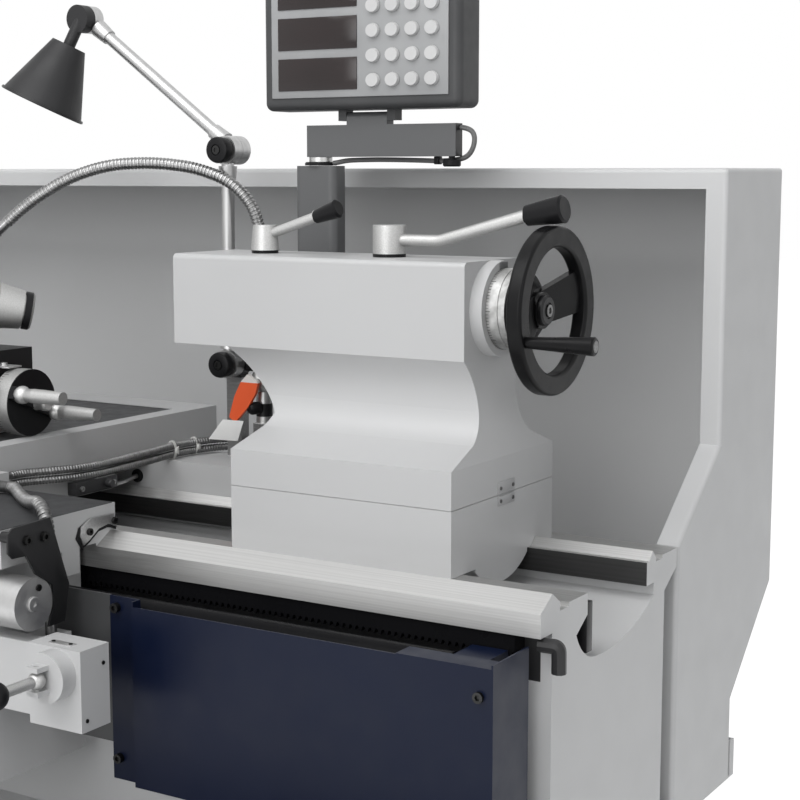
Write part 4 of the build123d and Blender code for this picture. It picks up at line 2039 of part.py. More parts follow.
with BuildPart() as tailstock_handwheel:
    turned((wheel_hub_x, 0, axis_z), (1, 0, 0), wheel_hub_profile)
    rim_plane = Plane(origin=(tail_wheel_x, 0, axis_z), x_dir=(1, 0, 0), z_dir=(0, -1, 0))
    with BuildSketch(rim_plane) as rim_section:
        with Locations((0, rim_radius)):
            RectangleRounded(WHEEL_RIM_DEPTH, WHEEL_RIM_WIDTH, WHEEL_RIM_EDGE)
    revolve(rim_section.sketch, Axis((tail_wheel_x, 0, axis_z), (1, 0, 0)))
    for spoke in range(WHEEL_SPOKE_COUNT):
        turn = math.radians(WHEEL_SPOKE_START + spoke * 360 / WHEEL_SPOKE_COUNT)
        out = (0, math.cos(turn), math.sin(turn))
        hub_side = wheel_hub_x + WHEEL_SPOKE_ROOT_X
        with BuildSketch(Plane(origin=(hub_side, 0, axis_z), x_dir=(1, 0, 0), z_dir=out)) as root:
            Rectangle(WHEEL_SPOKE_THICKNESS, 2 * WHEEL_SPOKE_ROOT)
        tip_at = (tail_wheel_x, rim_radius * out[1], axis_z + rim_radius * out[2])
        with BuildSketch(Plane(origin=tip_at, x_dir=(1, 0, 0), z_dir=out)) as tip:
            Rectangle(WHEEL_SPOKE_THICKNESS, 2 * WHEEL_SPOKE_TIP)
        loft([root.sketch, tip.sketch])
    bar(
        (grip_x, grip_base[1], grip_base[2]),
        (-1, 0, 0),
        GRIP_PIN_LENGTH + 2 * SLIDE_GAP,
        GRIP_PIN_RADIUS + RUN_GAP,
        Mode.SUBTRACT,
    )
save(tailstock_handwheel, "tailstock_handwheel")

# Revolving grip on the wheel rim, thickest at its free end
grip_outline = (
    (-GRIP_PIN_LENGTH, 0),
    (-GRIP_PIN_LENGTH, GRIP_PIN_RADIUS),
    (0, GRIP_PIN_RADIUS),
    (0, GRIP_NECK),
    (GRIP_LENGTH - GRIP_CHAMFER, GRIP_END),
    (GRIP_LENGTH, GRIP_END - GRIP_CHAMFER),
    (GRIP_LENGTH, 0),
)
with BuildPart() as handwheel_grip:
    turned(grip_base, (1, 0, 0), grip_outline)
save(handwheel_grip, "handwheel_grip")

# Quill lock lever: tapered hub, rising rod and knob
lever_floor = box_top + SLIDE_GAP
lock_rise = math.radians(LOCK_ROD_RISE)
lock_out = Vector(math.cos(lock_rise), 0, math.sin(lock_rise))
lock_rod_base = Vector(lock_x, 0, lever_floor + 0.6 * LOCK_HUB_HEIGHT)
lock_profile = (
    (0, 0),
    (0, LOCK_HUB_BASE - 1),
    (LEVER_RING, LOCK_HUB_BASE - 1),
    (LEVER_RING, LOCK_HUB_BASE),
    (LOCK_HUB_HEIGHT, LOCK_HUB_TOP),
    (LOCK_HUB_HEIGHT, 0),
)


def knob_outline(length, neck, radius):
    """Outline of a conical knob: narrow neck, wide end and a chamfered rim."""
    return (
        (0, 0),
        (0, neck),
        (length - KNOB_CHAMFER, radius),
        (length, radius - KNOB_CHAMFER),
        (length, 0),
    )


lock_knob = knob_outline(LOCK_KNOB_LENGTH, LOCK_KNOB_NECK, LOCK_KNOB_RADIUS)
with BuildPart() as quill_lock_lever:
    turned((lock_x, 0, lever_floor), (0, 0, 1), lock_profile)
    bar((lock_x, 0, lever_floor), (0, 0, -1), LEVER_PIN_LENGTH, LEVER_PIN_RADIUS)
    bar(lock_rod_base, lock_out, LOCK_ROD_LENGTH, LOCK_ROD_RADIUS)
    turned(lock_rod_base + lock_out * LOCK_ROD_LENGTH, lock_out, lock_knob)
save(quill_lock_lever, "quill_lock_lever")

# Clamp lever: straight hub, cranked arm and long knob over the handwheel
clamp_arm_z = lever_floor + CLAMP_ARM_LIFT
clamp_route = (
    (clamp_x, 0, clamp_arm_z),
    (clamp_x + CLAMP_ARM_FLAT, 0, clamp_arm_z),
    (clamp_x + CLAMP_KNOB_X, 0, clamp_arm_z + CLAMP_KNOB_RISE),
)
clamp_tilt = math.radians(CLAMP_KNOB_TILT)
clamp_out = (math.cos(clamp_tilt), 0, math.sin(clamp_tilt))
clamp_knob = knob_outline(CLAMP_KNOB_LENGTH, CLAMP_KNOB_NECK, CLAMP_KNOB_RADIUS)
with BuildPart() as clamp_lever:
    bar((clamp_x, 0, lever_floor), (0, 0, 1), CLAMP_HUB_HEIGHT, CLAMP_HUB_RADIUS)
    bar((clamp_x, 0, lever_floor), (0, 0, -1), LEVER_PIN_LENGTH, LEVER_PIN_RADIUS)
    with BuildLine() as arm_path:
        FilletPolyline(*clamp_route, radius=CLAMP_BEND_RADIUS)
    with BuildSketch(Plane(origin=clamp_route[0], z_dir=(1, 0, 0))):
        Circle(CLAMP_ARM_RADIUS)
    sweep(path=arm_path.wire())
    turned(clamp_route[-1], clamp_out, clamp_knob)
save(clamp_lever, "clamp_lever")
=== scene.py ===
import bpy
import bmesh
import json
from math import cos, pi, radians, sin
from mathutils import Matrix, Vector

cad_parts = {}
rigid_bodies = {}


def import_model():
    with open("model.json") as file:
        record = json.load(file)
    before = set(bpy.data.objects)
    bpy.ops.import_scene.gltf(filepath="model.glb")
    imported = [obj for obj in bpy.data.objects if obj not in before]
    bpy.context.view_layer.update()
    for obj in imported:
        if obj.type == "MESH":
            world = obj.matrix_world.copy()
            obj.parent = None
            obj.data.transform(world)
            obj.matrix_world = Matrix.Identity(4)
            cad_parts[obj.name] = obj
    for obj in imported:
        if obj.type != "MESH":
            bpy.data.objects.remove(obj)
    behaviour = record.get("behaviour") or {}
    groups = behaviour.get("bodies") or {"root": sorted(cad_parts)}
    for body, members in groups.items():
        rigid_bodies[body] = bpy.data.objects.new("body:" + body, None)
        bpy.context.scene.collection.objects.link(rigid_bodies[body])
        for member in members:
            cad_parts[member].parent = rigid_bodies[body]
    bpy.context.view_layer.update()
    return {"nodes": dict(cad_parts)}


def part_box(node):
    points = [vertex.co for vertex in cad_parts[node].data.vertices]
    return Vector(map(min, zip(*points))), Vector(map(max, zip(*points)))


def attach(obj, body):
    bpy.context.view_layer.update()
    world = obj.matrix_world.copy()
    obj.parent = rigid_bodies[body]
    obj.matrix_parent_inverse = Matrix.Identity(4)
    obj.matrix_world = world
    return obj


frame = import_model()
nodes = frame["nodes"]
scene = bpy.context.scene
shown = scene.collection.objects
RIGHT, BACK, FRONT = (1, 0, 0), (0, 1, 0), (0, -1, 0)
UP, DOWN = (0, 0, 1), (0, 0, -1)
FACING_RIGHT, FACING_FRONT, FACING_UP = (0.0, pi / 2, 0.0), (pi / 2, 0.0, 0.0), (0.0, 0.0, 0.0)

# The picture
# A long lens looks along the bed from the tailstock end, a little above the
# ways, and turned so that the headstock runs out of the left of the frame.
lens_dip, lens_turn = 7.84, 31.37
lens = bpy.data.cameras.new("camera")
lens.sensor_width = 36.0
lens.lens = 74.2
camera = bpy.data.objects.new("camera", lens)
camera.location = (1.851, -1.607, 1.268)
camera.rotation_euler = (radians(90.0 - lens_dip), 0.0, radians(lens_turn))
shown.link(camera)
scene.camera = camera
scene.view_settings.view_transform = "Standard"


# The room
# A wide soft box high in front, a broad fill from the front and a weak one on the
# right. World and floor are white to the lens and to polished metal.
def feed(tree, value, socket):
    """Give a socket a value, a link, or the first output of a node."""
    if isinstance(value, bpy.types.Node):
        value = value.outputs[0]
    if isinstance(value, bpy.types.NodeSocket):
        tree.links.new(value, socket)
    else:
        socket.default_value = value


def add(tree, kind, inputs=None, **settings):
    """Add a node with its settings, and feed its inputs."""
    node = tree.nodes.new(kind)
    for setting, value in settings.items():
        setattr(node, setting, value)
    for socket, value in (inputs or {}).items():
        feed(tree, value, node.inputs[socket])
    return node


def work(tree, operation, first, second):
    """One sum in a node tree."""
    return add(tree, "ShaderNodeMath", {0: first, 1: second}, operation=operation).outputs[0]


def rays_that_see(tree):
    """Give 1 for rays of the lens, of polished metal and of glass, and 0 for light rays."""
    path = add(tree, "ShaderNodeLightPath").outputs
    either = work(tree, "MAXIMUM", path["Is Camera Ray"], path["Is Glossy Ray"])
    return work(tree, "MAXIMUM", either, path["Is Transmission Ray"])


world = bpy.data.worlds.new("white room")
scene.world = world
world.use_nodes = True
sky = world.node_tree
sky.nodes.clear()
sky_seen = add(sky, "ShaderNodeBackground", {"Color": (1.0, 1.0, 1.0, 1.0)})
sky_light = add(sky, "ShaderNodeBackground", {"Color": (0.97, 0.985, 1.0, 1.0), "Strength": 0.31})
sky_mix = add(sky, "ShaderNodeMixShader", {"Fac": rays_that_see(sky), 1: sky_light, 2: sky_seen})
add(sky, "ShaderNodeOutputWorld", {"Surface": sky_mix})

for lamp_name, place, aim, size, power in (
    ("soft box overhead", (0.6, -1.7, 3.35), (0.5, 0.0, 0.9), (3.0, 2.0), 62.0),
    ("front fill", (1.0, -4.2, 2.0), (0.7, 0.0, 1.0), (3.0, 2.2), 51.0),
    ("right fill", (4.4, -1.2, 2.2), (0.9, 0.0, 1.0), (2.0, 2.0), 12.0),
):
    light = bpy.data.lights.new(lamp_name, "AREA")
    light.shape = "RECTANGLE"
    light.size, light.size_y = size
    light.energy = power
    lamp = bpy.data.objects.new(lamp_name, light)
    lamp.location = place
    lamp.rotation_euler = (Vector(aim) - Vector(place)).to_track_quat("-Z", "Y").to_euler()
    shown.link(lamp)

floor_shine = 0.75
floor_corners = ((-14.0, -10.0, 0.0), (14.0, -10.0, 0.0), (14.0, 22.0, 0.0), (-14.0, 22.0, 0.0))
floor_mesh = bpy.data.meshes.new("floor")
floor_mesh.from_pydata(floor_corners, [], [(0, 1, 2, 3)])
floor = bpy.data.objects.new("floor", floor_mesh)
shown.link(floor)
floor_paint = bpy.data.materials.new("pale floor")
floor_paint.use_nodes = True
tree = floor_paint.node_tree
skin = tree.nodes["Principled BSDF"]
feed(tree, (0.85, 0.85, 0.85, 1.0), skin.inputs["Base Color"])
feed(tree, 0.9, skin.inputs["Roughness"])
glow = add(tree, "ShaderNodeEmission", {"Strength": work(tree, "MULTIPLY", rays_that_see(tree), floor_shine)})
both = add(tree, "ShaderNodeAddShader", {0: skin, 1: glow})
feed(tree, both, tree.nodes["Material Output"].inputs["Surface"])
floor_mesh.materials.append(floor_paint)


# Levelling feet
# Turned pads with a rubber face, one under each corner of both cabinets, screwed
# in from below so that the machine can be set level.
def finish(name, look, *patches, specular=0.5):
    """Make a material from one look, with other looks laid over parts of it.

    A patch is (look, {axis: (low, high)}) with limits in metres along x, y or z.
    """
    material = bpy.data.materials.new(name)
    material.use_nodes = True
    tree = material.node_tree
    tree.nodes.clear()
    place = add(tree, "ShaderNodeTexCoord").outputs["Object"]
    parts = look(tree, place)
    for over, limits in patches:
        split = add(tree, "ShaderNodeSeparateXYZ", {0: place})
        inside = 1.0
        for axis, (low, high) in limits.items():
            span = {0: split.outputs[axis.upper()], 1: (low + high) / 2, 2: (high - low) / 2}
            inside = work(tree, "MULTIPLY", inside, add(tree, "ShaderNodeMath", span, operation="COMPARE"))
        mixed = []
        for first, second in zip(parts, over(tree, place)):
            kind, one, result = ("FLOAT", 2, 0) if mixed else ("RGBA", 6, 2)
            mix = add(tree, "ShaderNodeMix", {0: inside, one: first, one + 1: second}, data_type=kind)
            mixed.append(mix.outputs[result])
        parts = mixed
    colour, metal, rough, relief, depth = parts
    bump = add(tree, "ShaderNodeBump", {"Distance": 0.0005, "Height": relief, "Strength": depth})
    skin = {"Base Color": colour, "Metallic": metal, "Roughness": rough, "Normal": bump}
    surface = add(tree, "ShaderNodeBsdfPrincipled", {**skin, "Specular IOR Level": specular})
    add(tree, "ShaderNodeOutputMaterial", {"Surface": surface})
    return material


def grain(tree, place, scale, stretch=(1.0, 1.0, 1.0), detail=3.0):
    """A noise along object axes, stretched for brushed or turned marks."""
    turn = add(tree, "ShaderNodeMapping", {"Scale": stretch, "Vector": place})
    noise = add(tree, "ShaderNodeTexNoise", {"Scale": scale, "Detail": detail, "Vector": turn})
    return noise.outputs["Fac"]


def between(tree, value, low, high, start=0.3, end=0.7):
    """Spread a noise value between two numbers, or two colours."""
    if isinstance(low, tuple):
        ramp = add(tree, "ShaderNodeValToRGB", {"Fac": value})
        for stop, position, colour in zip(ramp.color_ramp.elements, (start, end), (low, high)):
            stop.position = position
            stop.color = (*colour, 1.0)
        return ramp.outputs["Color"]
    limits = {"From Min": start, "From Max": end, "To Min": low, "To Max": high, "Value": value}
    return add(tree, "ShaderNodeMapRange", limits).outputs["Result"]


def dress(material, *names):
    """Give CAD nodes one material."""
    for each in names:
        nodes[each].data.materials.clear()
        nodes[each].data.materials.append(material)


def rubber(tree, place):
    """Matt black rubber with a fine moulded skin."""
    skin = grain(tree, place, 900.0)
    colour = between(tree, grain(tree, place, 25.0), (0.012, 0.012, 0.013), (0.022, 0.022, 0.023))
    return colour, 0.0, between(tree, skin, 0.6, 0.78), skin, 0.25


def ground(colour, shade, along=(3.0, 500.0, 500.0), rough=(0.3, 0.44), depth=0.02):
    """Ground metal with fine scratches that run one way."""

    def look(tree, place):
        lines = grain(tree, place, 1.0, along, 4.0)
        tone = between(tree, lines, shade, colour, 0.35, 0.65)
        return tone, 1.0, between(tree, lines, rough[1], rough[0], 0.35, 0.65), lines, depth

    return look


def grey(level):
    """A colour without hue."""
    return (level, level, level)


dark_steel = ground(grey(0.2), grey(0.15))
dress(finish("foot pad", dark_steel, (rubber, {"z": (-0.001, 0.008)})), "levelling_feet")


# Cabinets and chip tray
# Folded and welded sheet steel in light grey enamel, with a hung door in front
# and a screwed and louvred panel behind each cabinet.
def enamel(colour, dust, gloss=0.34):
    """Sprayed enamel: a faint cloud of dust over an orange-peel skin."""

    def look(tree, place):
        tone = between(tree, grain(tree, place, 2.6, detail=5.0), dust, colour, 0.25, 0.6)
        rough = between(tree, grain(tree, place, 30.0), gloss - 0.05, gloss + 0.07)
        return tone, 0.0, rough, grain(tree, place, 420.0, detail=1.0), 0.045

    return look


def lay_mesh(name, shape, material, body):
    """Turn a bmesh into a piece with crisp edges, and fix it to a body."""
    bmesh.ops.remove_doubles(shape, verts=shape.verts, dist=1e-6)
    bmesh.ops.recalc_face_normals(shape, faces=shape.faces)
    for face in shape.faces:
        face.smooth = True
    for edge in shape.edges:
        edge.smooth = edge.calc_face_angle(0.0) < radians(32.0)
    mesh = bpy.data.meshes.new(name)
    shape.to_mesh(mesh)
    shape.free()
    mesh.materials.append(material)
    piece = bpy.data.objects.new(name, mesh)
    shown.link(piece)
    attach(piece, body)


def soften(shape, corners, edge):
    """Round over every edge between the given corners."""
    edges = list({each for corner in corners for each in corner.link_edges})
    bmesh.ops.bevel(shape, geom=edges, offset=edge, segments=2, affect="EDGES", profile=0.5)


def round_box(shape, low, high, edge):
    """Add a block with rounded edges."""
    corners = bmesh.ops.create_cube(shape, size=1.0)["verts"]
    for corner in corners:
        corner.co = [near + (part + 0.5) * (far - near) for near, far, part in zip(low, high, corner.co)]
    soften(shape, corners, edge)


def cut_plate(shape, outline, thickness, edge=0.0004):
    """Add a flat outline of points, thickened by a vector."""
    near = [shape.verts.new(point) for point in outline]
    far = [shape.verts.new(Vector(point) + Vector(thickness)) for point in outline]
    shape.faces.new(near[::-1])
    shape.faces.new(far)
    for k in range(len(near)):
        shape.faces.new((near[k - 1], near[k], far[k], far[k - 1]))
    soften(shape, near + far, edge)


def turn_profile(shape, base, axis, profile, steps=28, ring=False):
    """Spin (distance along the axis, radius) points into a solid with flat ends, or a ring."""
    if not ring:
        profile = ((profile[0][0], 0), *profile, (profile[-1][0], 0))
    axis = Vector(axis).normalized()
    side = axis.orthogonal().normalized()
    other = axis.cross(side)
    rows = []
    for along, radius in profile:
        middle = Vector(base) + axis * along
        turns = [2 * pi * step / steps for step in range(steps if radius > 0 else 1)]
        spokes = [(side * cos(turn) + other * sin(turn)) * radius for turn in turns]
        rows.append([shape.verts.new(middle + spoke) for spoke in spokes])
    nexts = rows[1:] + rows[:1] if ring else rows[1:]
    for first, second in zip(rows, nexts):
        for step in range(steps):
            around = ((first, step), (first, step + 1), (second, step + 1), (second, step))
            corners = list(dict.fromkeys(row[spot % len(row)] for row, spot in around))
            if len(corners) > 2:
                shape.faces.new(corners)


def boxed(name, edge, material, body, slot, *boxes):
    """One piece of blocks with rounded edges."""
    shape = bmesh.new()
    for low, high in boxes:
        round_box(shape, low, high, edge)
    lay_mesh(name, shape, material, body)


def turned(name, base, axis, profile, material, body, steps=28, ring=False):
    """One turned piece."""
    shape = bmesh.new()
    turn_profile(shape, base, axis, profile, steps, ring)
    lay_mesh(name, shape, material, body)


def new_tree(name, **inputs):
    """Start a geometry node tree, and give it with the sockets of its inputs."""
    tree = bpy.data.node_groups.new(name, "GeometryNodeTree")
    inputs = {"Geometry": "Geometry", **inputs}
    for label, kind in inputs.items():
        tree.interface.new_socket(name=label, in_out="INPUT", socket_type="NodeSocket" + kind)
    tree.interface.new_socket(name="Geometry", in_out="OUTPUT", socket_type="NodeSocketGeometry")
    return tree, tree.nodes.new("NodeGroupInput").outputs


def shaped(tree, shape, **how):
    """Move, turn or scale a shape in a node tree."""
    return add(tree, "GeometryNodeTransform", {"Geometry": shape, **how})


def put(tree, shape, place, turn):
    """Turn and place a shape in a node tree."""
    facing = add(tree, "FunctionNodeEulerToRotation", {"Euler": turn})
    return shaped(tree, shape, Translation=place, Rotation=facing)


def scatter(tree, points, shape, **how):
    """Put a shape at every point."""
    return add(tree, "GeometryNodeInstanceOnPoints", {"Points": points, "Instance": shape, **how})


def end_tree(tree, spread, coat):
    """Close a tree with real geometry and its material, and give it back."""
    real = add(tree, "GeometryNodeRealizeInstances", {"Geometry": spread})
    coated = add(tree, "GeometryNodeSetMaterial", {"Geometry": real, "Material": coat})
    add(tree, "NodeGroupOutput", {"Geometry": coated})
    return tree


def grow(name, tree, body, slot, base=None, **values):
    """Run a node tree once, keep its result as a plain mesh, and fix it to a body."""
    piece = bpy.data.objects.new(name, base or bpy.data.meshes.new(name))
    shown.link(piece)
    modifier = piece.modifiers.new(name, "NODES")
    modifier.node_group = tree
    for item in tree.interface.items_tree:
        if item.name in values:
            modifier[item.identifier] = values[item.name]
    bpy.context.view_layer.update()
    graph = bpy.context.evaluated_depsgraph_get()
    mesh = bpy.data.meshes.new_from_object(piece.evaluated_get(graph))
    piece.modifiers.clear()
    piece.data = mesh
    mesh.name = name
    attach(piece, body)


tree, given = new_tree("socket screws", Radius="Float", Height="Float", Steel="Material")
bore = work(tree, "MULTIPLY", given["Radius"], 0.55)
head, key = (
    add(tree, "GeometryNodeMeshCylinder", {"Vertices": sides, "Radius": radius, "Depth": given["Height"]})
    for sides, radius in ((20, given["Radius"]), (6, bore))
)
lift = add(tree, "ShaderNodeCombineXYZ", {"Z": work(tree, "MULTIPLY", given["Height"], 0.7)})
move = shaped(tree, key, Translation=lift)
cut = add(tree, "GeometryNodeMeshBoolean", {0: head, 1: move}, operation="DIFFERENCE")
facing = add(tree, "GeometryNodeInputNamedAttribute", {"Name": "facing"}, data_type="FLOAT_VECTOR")
align = add(tree, "FunctionNodeAlignRotationToVector", {"Vector": facing}, axis="Z")
screw_tree = end_tree(tree, scatter(tree, given["Geometry"], cut, Rotation=align), given["Steel"])
blackened = finish("blackened screw steel", ground(grey(0.05), grey(0.03)), specular=0.3)


def set_screws(name, spots, radius, height, body, steel=blackened, slot="black_iron"):
    """Put half-sunk socket screws at (place, facing) spots."""
    base = bpy.data.meshes.new(name)
    base.from_pydata([place for place, facing in spots], [], [])
    facings = base.attributes.new("facing", "FLOAT_VECTOR", "POINT")
    for entry, (place, facing) in zip(facings.data, spots):
        entry.vector = facing
    grow(name, screw_tree, body, slot, base, Radius=radius, Height=height, Steel=steel)


def spots_at(xs, ys, zs, facing):
    """Screw spots at every crossing of three rows, all facing one way."""
    return [((x, y, z), facing) for x in xs for y in ys for z in zs]


tree, given = new_tree(
    "pressed louvres", Count="Int", Pitch="Float", Blade="Vector", First="Vector", Turn="Vector",
    Paint="Material",
)
blade = add(tree, "GeometryNodeMeshCylinder", {"Vertices": 16, "Radius": 1.0, "Depth": 1.0})
lay = shaped(tree, blade, Rotation=FACING_RIGHT, Scale=given["Blade"])
step = add(tree, "ShaderNodeCombineXYZ", {"Z": given["Pitch"]})
ladder = add(tree, "GeometryNodeMeshLine", {"Count": given["Count"], "Offset": step})
louvre_tree = end_tree(
    tree, put(tree, scatter(tree, ladder, lay), given["First"], given["Turn"]), given["Paint"]
)


def set_louvres(name, first, count, width, turn, body="machine"):
    """Put a ladder of pressed louvres on a sheet, upwards from the first."""
    blade = (0.006, 0.005, width)
    grow(
        name, louvre_tree, body, "grey_paint",
        Count=count, Pitch=0.022, Blade=blade, First=first, Turn=(0, 0, turn), Paint=sheet_paint,
    )


light_grey = enamel((0.61, 0.613, 0.616), (0.585, 0.588, 0.591))
sheet_paint = finish("light grey enamel", light_grey)
dress(sheet_paint, "headstock_cabinet", "tailstock_cabinet", "chip_tray")
door_front, panel_back = -0.243, 0.3022
barrel = ((0, 0.0045), (0.002, 0.0055), (0.05, 0.0055), (0.052, 0.0045))
lock_face = ((0, 0.015), (0.004, 0.015), (0.006, 0.013), (0.006, 0.009), (0.004, 0.008))
for door_name, left, right, hinge_x, lock_x in (
    ("headstock_door", -0.935, -0.395, -0.9385, -0.425),
    ("tailstock_door", 0.745, 1.095, 1.0985, 0.775),
):
    middle = (left + right) / 2
    door = bmesh.new()
    round_box(door, (left, door_front, 0.075), (right, -0.2398, 0.455), 0.0012)
    for hinge_z in (0.115, 0.36):
        turn_profile(door, (hinge_x, -0.2425, hinge_z), UP, barrel, 16)
    lay_mesh(door_name, door, sheet_paint, "machine")
    lock = bmesh.new()
    turn_profile(lock, (lock_x, door_front, 0.265), FRONT, lock_face)
    round_box(lock, (lock_x - 0.0015, -0.2485, 0.259), (lock_x + 0.0015, -0.246, 0.271), 0.0005)
    lay_mesh(door_name + "_lock", lock, blackened, "machine")
    box = ((left + 0.02, 0.2998, 0.085), (right - 0.02, panel_back, 0.445))
    boxed(door_name + "_back_panel", 0.0009, sheet_paint, "machine", "grey_paint", box)
    spots = spots_at((left + 0.035, middle, right - 0.035), (panel_back,), (0.1, 0.43), BACK)
    set_screws(door_name + "_panel_screws", spots, 0.0055, 0.007, "machine")
    set_louvres(door_name + "_back_louvres", (middle, panel_back, 0.18), 9, 0.2, 0)
set_louvres("cabinet_end_louvres", (1.135, 0.03, 0.17), 10, 0.22, pi / 2)
set_louvres("headstock_door_louvres", (-0.72, door_front, 0.17), 9, 0.18, 0)

# Brake pedal
# A long treadle hung between the cabinets, in dark grey enamel.
dark_grey = enamel((0.115, 0.117, 0.12), (0.098, 0.1, 0.103), 0.42)
dark_paint = finish("dark grey enamel", dark_grey)
dress(dark_paint, "brake_pedal")

# Splash guard
# One folded sheet behind the bed, stiffened at the back by pressed ribs and held
# by two rows of screws.
dress(sheet_paint, "splash_guard")
guard_back, screw_lift_off = 0.485, 0.0015
ribs = [
    ((rib_x - 0.018, guard_back - 0.0005, 0.77), (rib_x + 0.018, guard_back + 0.006, 1.22))
    for rib_x in (-0.06, 0.365, 0.79)
]
boxed("guard_ribs", 0.003, sheet_paint, "machine", "grey_paint", *ribs)
spots = spots_at(
    [-0.385 + 0.15 * spot for spot in range(11)], (guard_back + screw_lift_off,), (0.75, 1.245), BACK
)
set_screws("guard_screws", spots, 0.005, 0.006, "machine")

# Bed
# A grey-iron casting, enamelled below, with its ways hardened and ground bright.
# A stop pin stands inside the front rail, and an oil elbow leaves the end face.
way_steel = ground((0.55, 0.55, 0.545), (0.48, 0.48, 0.475), rough=(0.4, 0.5))
way_shadow = ground(grey(0.08), grey(0.06), rough=(0.45, 0.55))
# Painted shade: the inside of the bed between the rails is darker enamel, where shade falls in it.
inside_painted_shade = enamel((0.09, 0.091, 0.093), (0.075, 0.076, 0.078), 0.4)
# Painted shade: the front wall under the rack is near-black enamel, where the way's overhang shades it.
wall_painted_shade = enamel((0.02, 0.02, 0.021), (0.026, 0.026, 0.027), 0.4)
bed_left, bed_end = -0.98, 1.1549
bed_paint = finish(
    "bed casting", light_grey,
    (way_steel, {"z": (0.8165, 0.9), "x": (-0.9849, bed_end)}),
    (way_shadow, {"z": (0.811, 0.8395), "y": (0.0585, 0.0668), "x": (bed_left, bed_end)}),
    (inside_painted_shade, {"z": (0.5, 0.815), "y": (-0.0945, 0.0615), "x": (bed_left, 0.88)}),
    (wall_painted_shade, {"z": (0.765, 0.8155), "y": (-0.1775, -0.1), "x": (bed_left, 1.1425)}),
)
dress(bed_paint, "bed")
black_oxide = finish("black oxide", enamel((0.012, 0.012, 0.013), (0.018, 0.018, 0.019), 0.4), specular=0.3)
pin_top = 0.829
pin = bmesh.new()
round_box(pin, (1.141, -0.0935, 0.775), (1.1545, -0.08, pin_top), 0.001)
turn_profile(pin, (1.1478, -0.0868, pin_top), UP, ((0, 0.004), (0.003, 0.003)), 16)
lay_mesh("bed_stop_pin", pin, black_oxide, "machine")


def bend_pipe(name, points, radius, material, body):
    """A round wire or pipe along one smooth line."""
    line = bpy.data.curves.new(name, "CURVE")
    line.dimensions = "3D"
    spline = line.splines.new("NURBS")
    spline.points.add(len(points) - 1)
    for knot, point in zip(spline.points, points):
        knot.co = (*point, 1.0)
    spline.order_u = 3
    spline.use_endpoint_u = True
    line.resolution_u = 8
    line.bevel_depth = radius
    line.bevel_resolution = 3
    line.use_fill_caps = True
    guide = bpy.data.objects.new(name + "_line", line)
    shown.link(guide)
    graph = bpy.context.evaluated_depsgraph_get()
    mesh = bpy.data.meshes.new_from_object(guide.evaluated_get(graph))
    bpy.data.objects.remove(guide)
    shape = bmesh.new()
    shape.from_mesh(mesh)
    lay_mesh(name, shape, material, body)


elbow_line = (
    (1.15, -0.193, 0.809), (1.16, -0.193, 0.809), (1.17, -0.192, 0.809), (1.17, -0.191, 0.798),
    (1.17, -0.191, 0.782),
)
elbow_black = enamel((0.022, 0.022, 0.023), (0.028, 0.028, 0.029), 0.4)
elbow_paint = finish("oil elbow enamel", elbow_black, specular=0.3)
bend_pipe("bed_oil_elbow", elbow_line, 0.0075, elbow_paint, "machine")

# Rack, leadscrew and feed rod
# The rack and the leadscrew are oiled black steel, the rod is drawn and bright.
# They hang under the front way, the rack screwed to the bed.
oiled_black = enamel((0.006, 0.006, 0.007), (0.009, 0.009, 0.01), 0.28)
dress(finish("oiled black steel", oiled_black, specular=0.04), "feed_rack", "leadscrew")
turned_steel = ground((0.58, 0.58, 0.575), (0.5, 0.5, 0.495), (420.0, 6.0, 6.0), (0.3, 0.42), 0.01)
drawn_steel = finish("drawn steel", turned_steel)
dress(drawn_steel, "feed_rod")

# Screw guard
# A bent sheet cover over the shafts in dark blue enamel, screwed to the bed on
# its right and through a set-back tab on its left. The end bracket has its blue.
blue = enamel((0.003, 0.006, 0.021), (0.004, 0.008, 0.025), 0.36)
dress(finish("guard blue enamel", blue, specular=0.2), "screw_guard", "shaft_bracket")
spots = spots_at((0.67,), (-0.2682,), (0.625, 0.7964), FRONT)
spots += spots_at((1.128,), (-0.277,), (0.625, 0.775), FRONT)
set_screws("screw_guard_screws", spots, 0.0055, 0.008, "machine")


# Headstock
# A filled and enamelled casting with a lid screwed down on top, an oil sight in
# front, a bare chart plate and a small panel of push buttons.
def moulded(colour, bright, gloss):
    """Moulded plastic with a fine satin skin."""

    def look(tree, place):
        tone = between(tree, grain(tree, place, 18.0), colour, bright)
        rough = between(tree, grain(tree, place, 60.0), gloss - 0.05, gloss + 0.08)
        return tone, 0.0, rough, grain(tree, place, 1500.0), 0.06

    return look


def chart_plate(name, front, left, right, foot, top):
    """A thin bare plate on a front face."""
    box = ((left, front - plate_rise, foot), (right, front + 0.0002, top))
    boxed(name, 0.0004, plate_alloy, "machine", "bright_steel", box)


def oil_sight(name, place, rim, glass, steps, body):
    """A bright ring with a glass in it, on a front face."""
    turned(name + "_ring", place, FRONT, rim, ground_steel, body, steps, True)
    turned(name + "_glass", place, FRONT, glass, oil_glass, body)


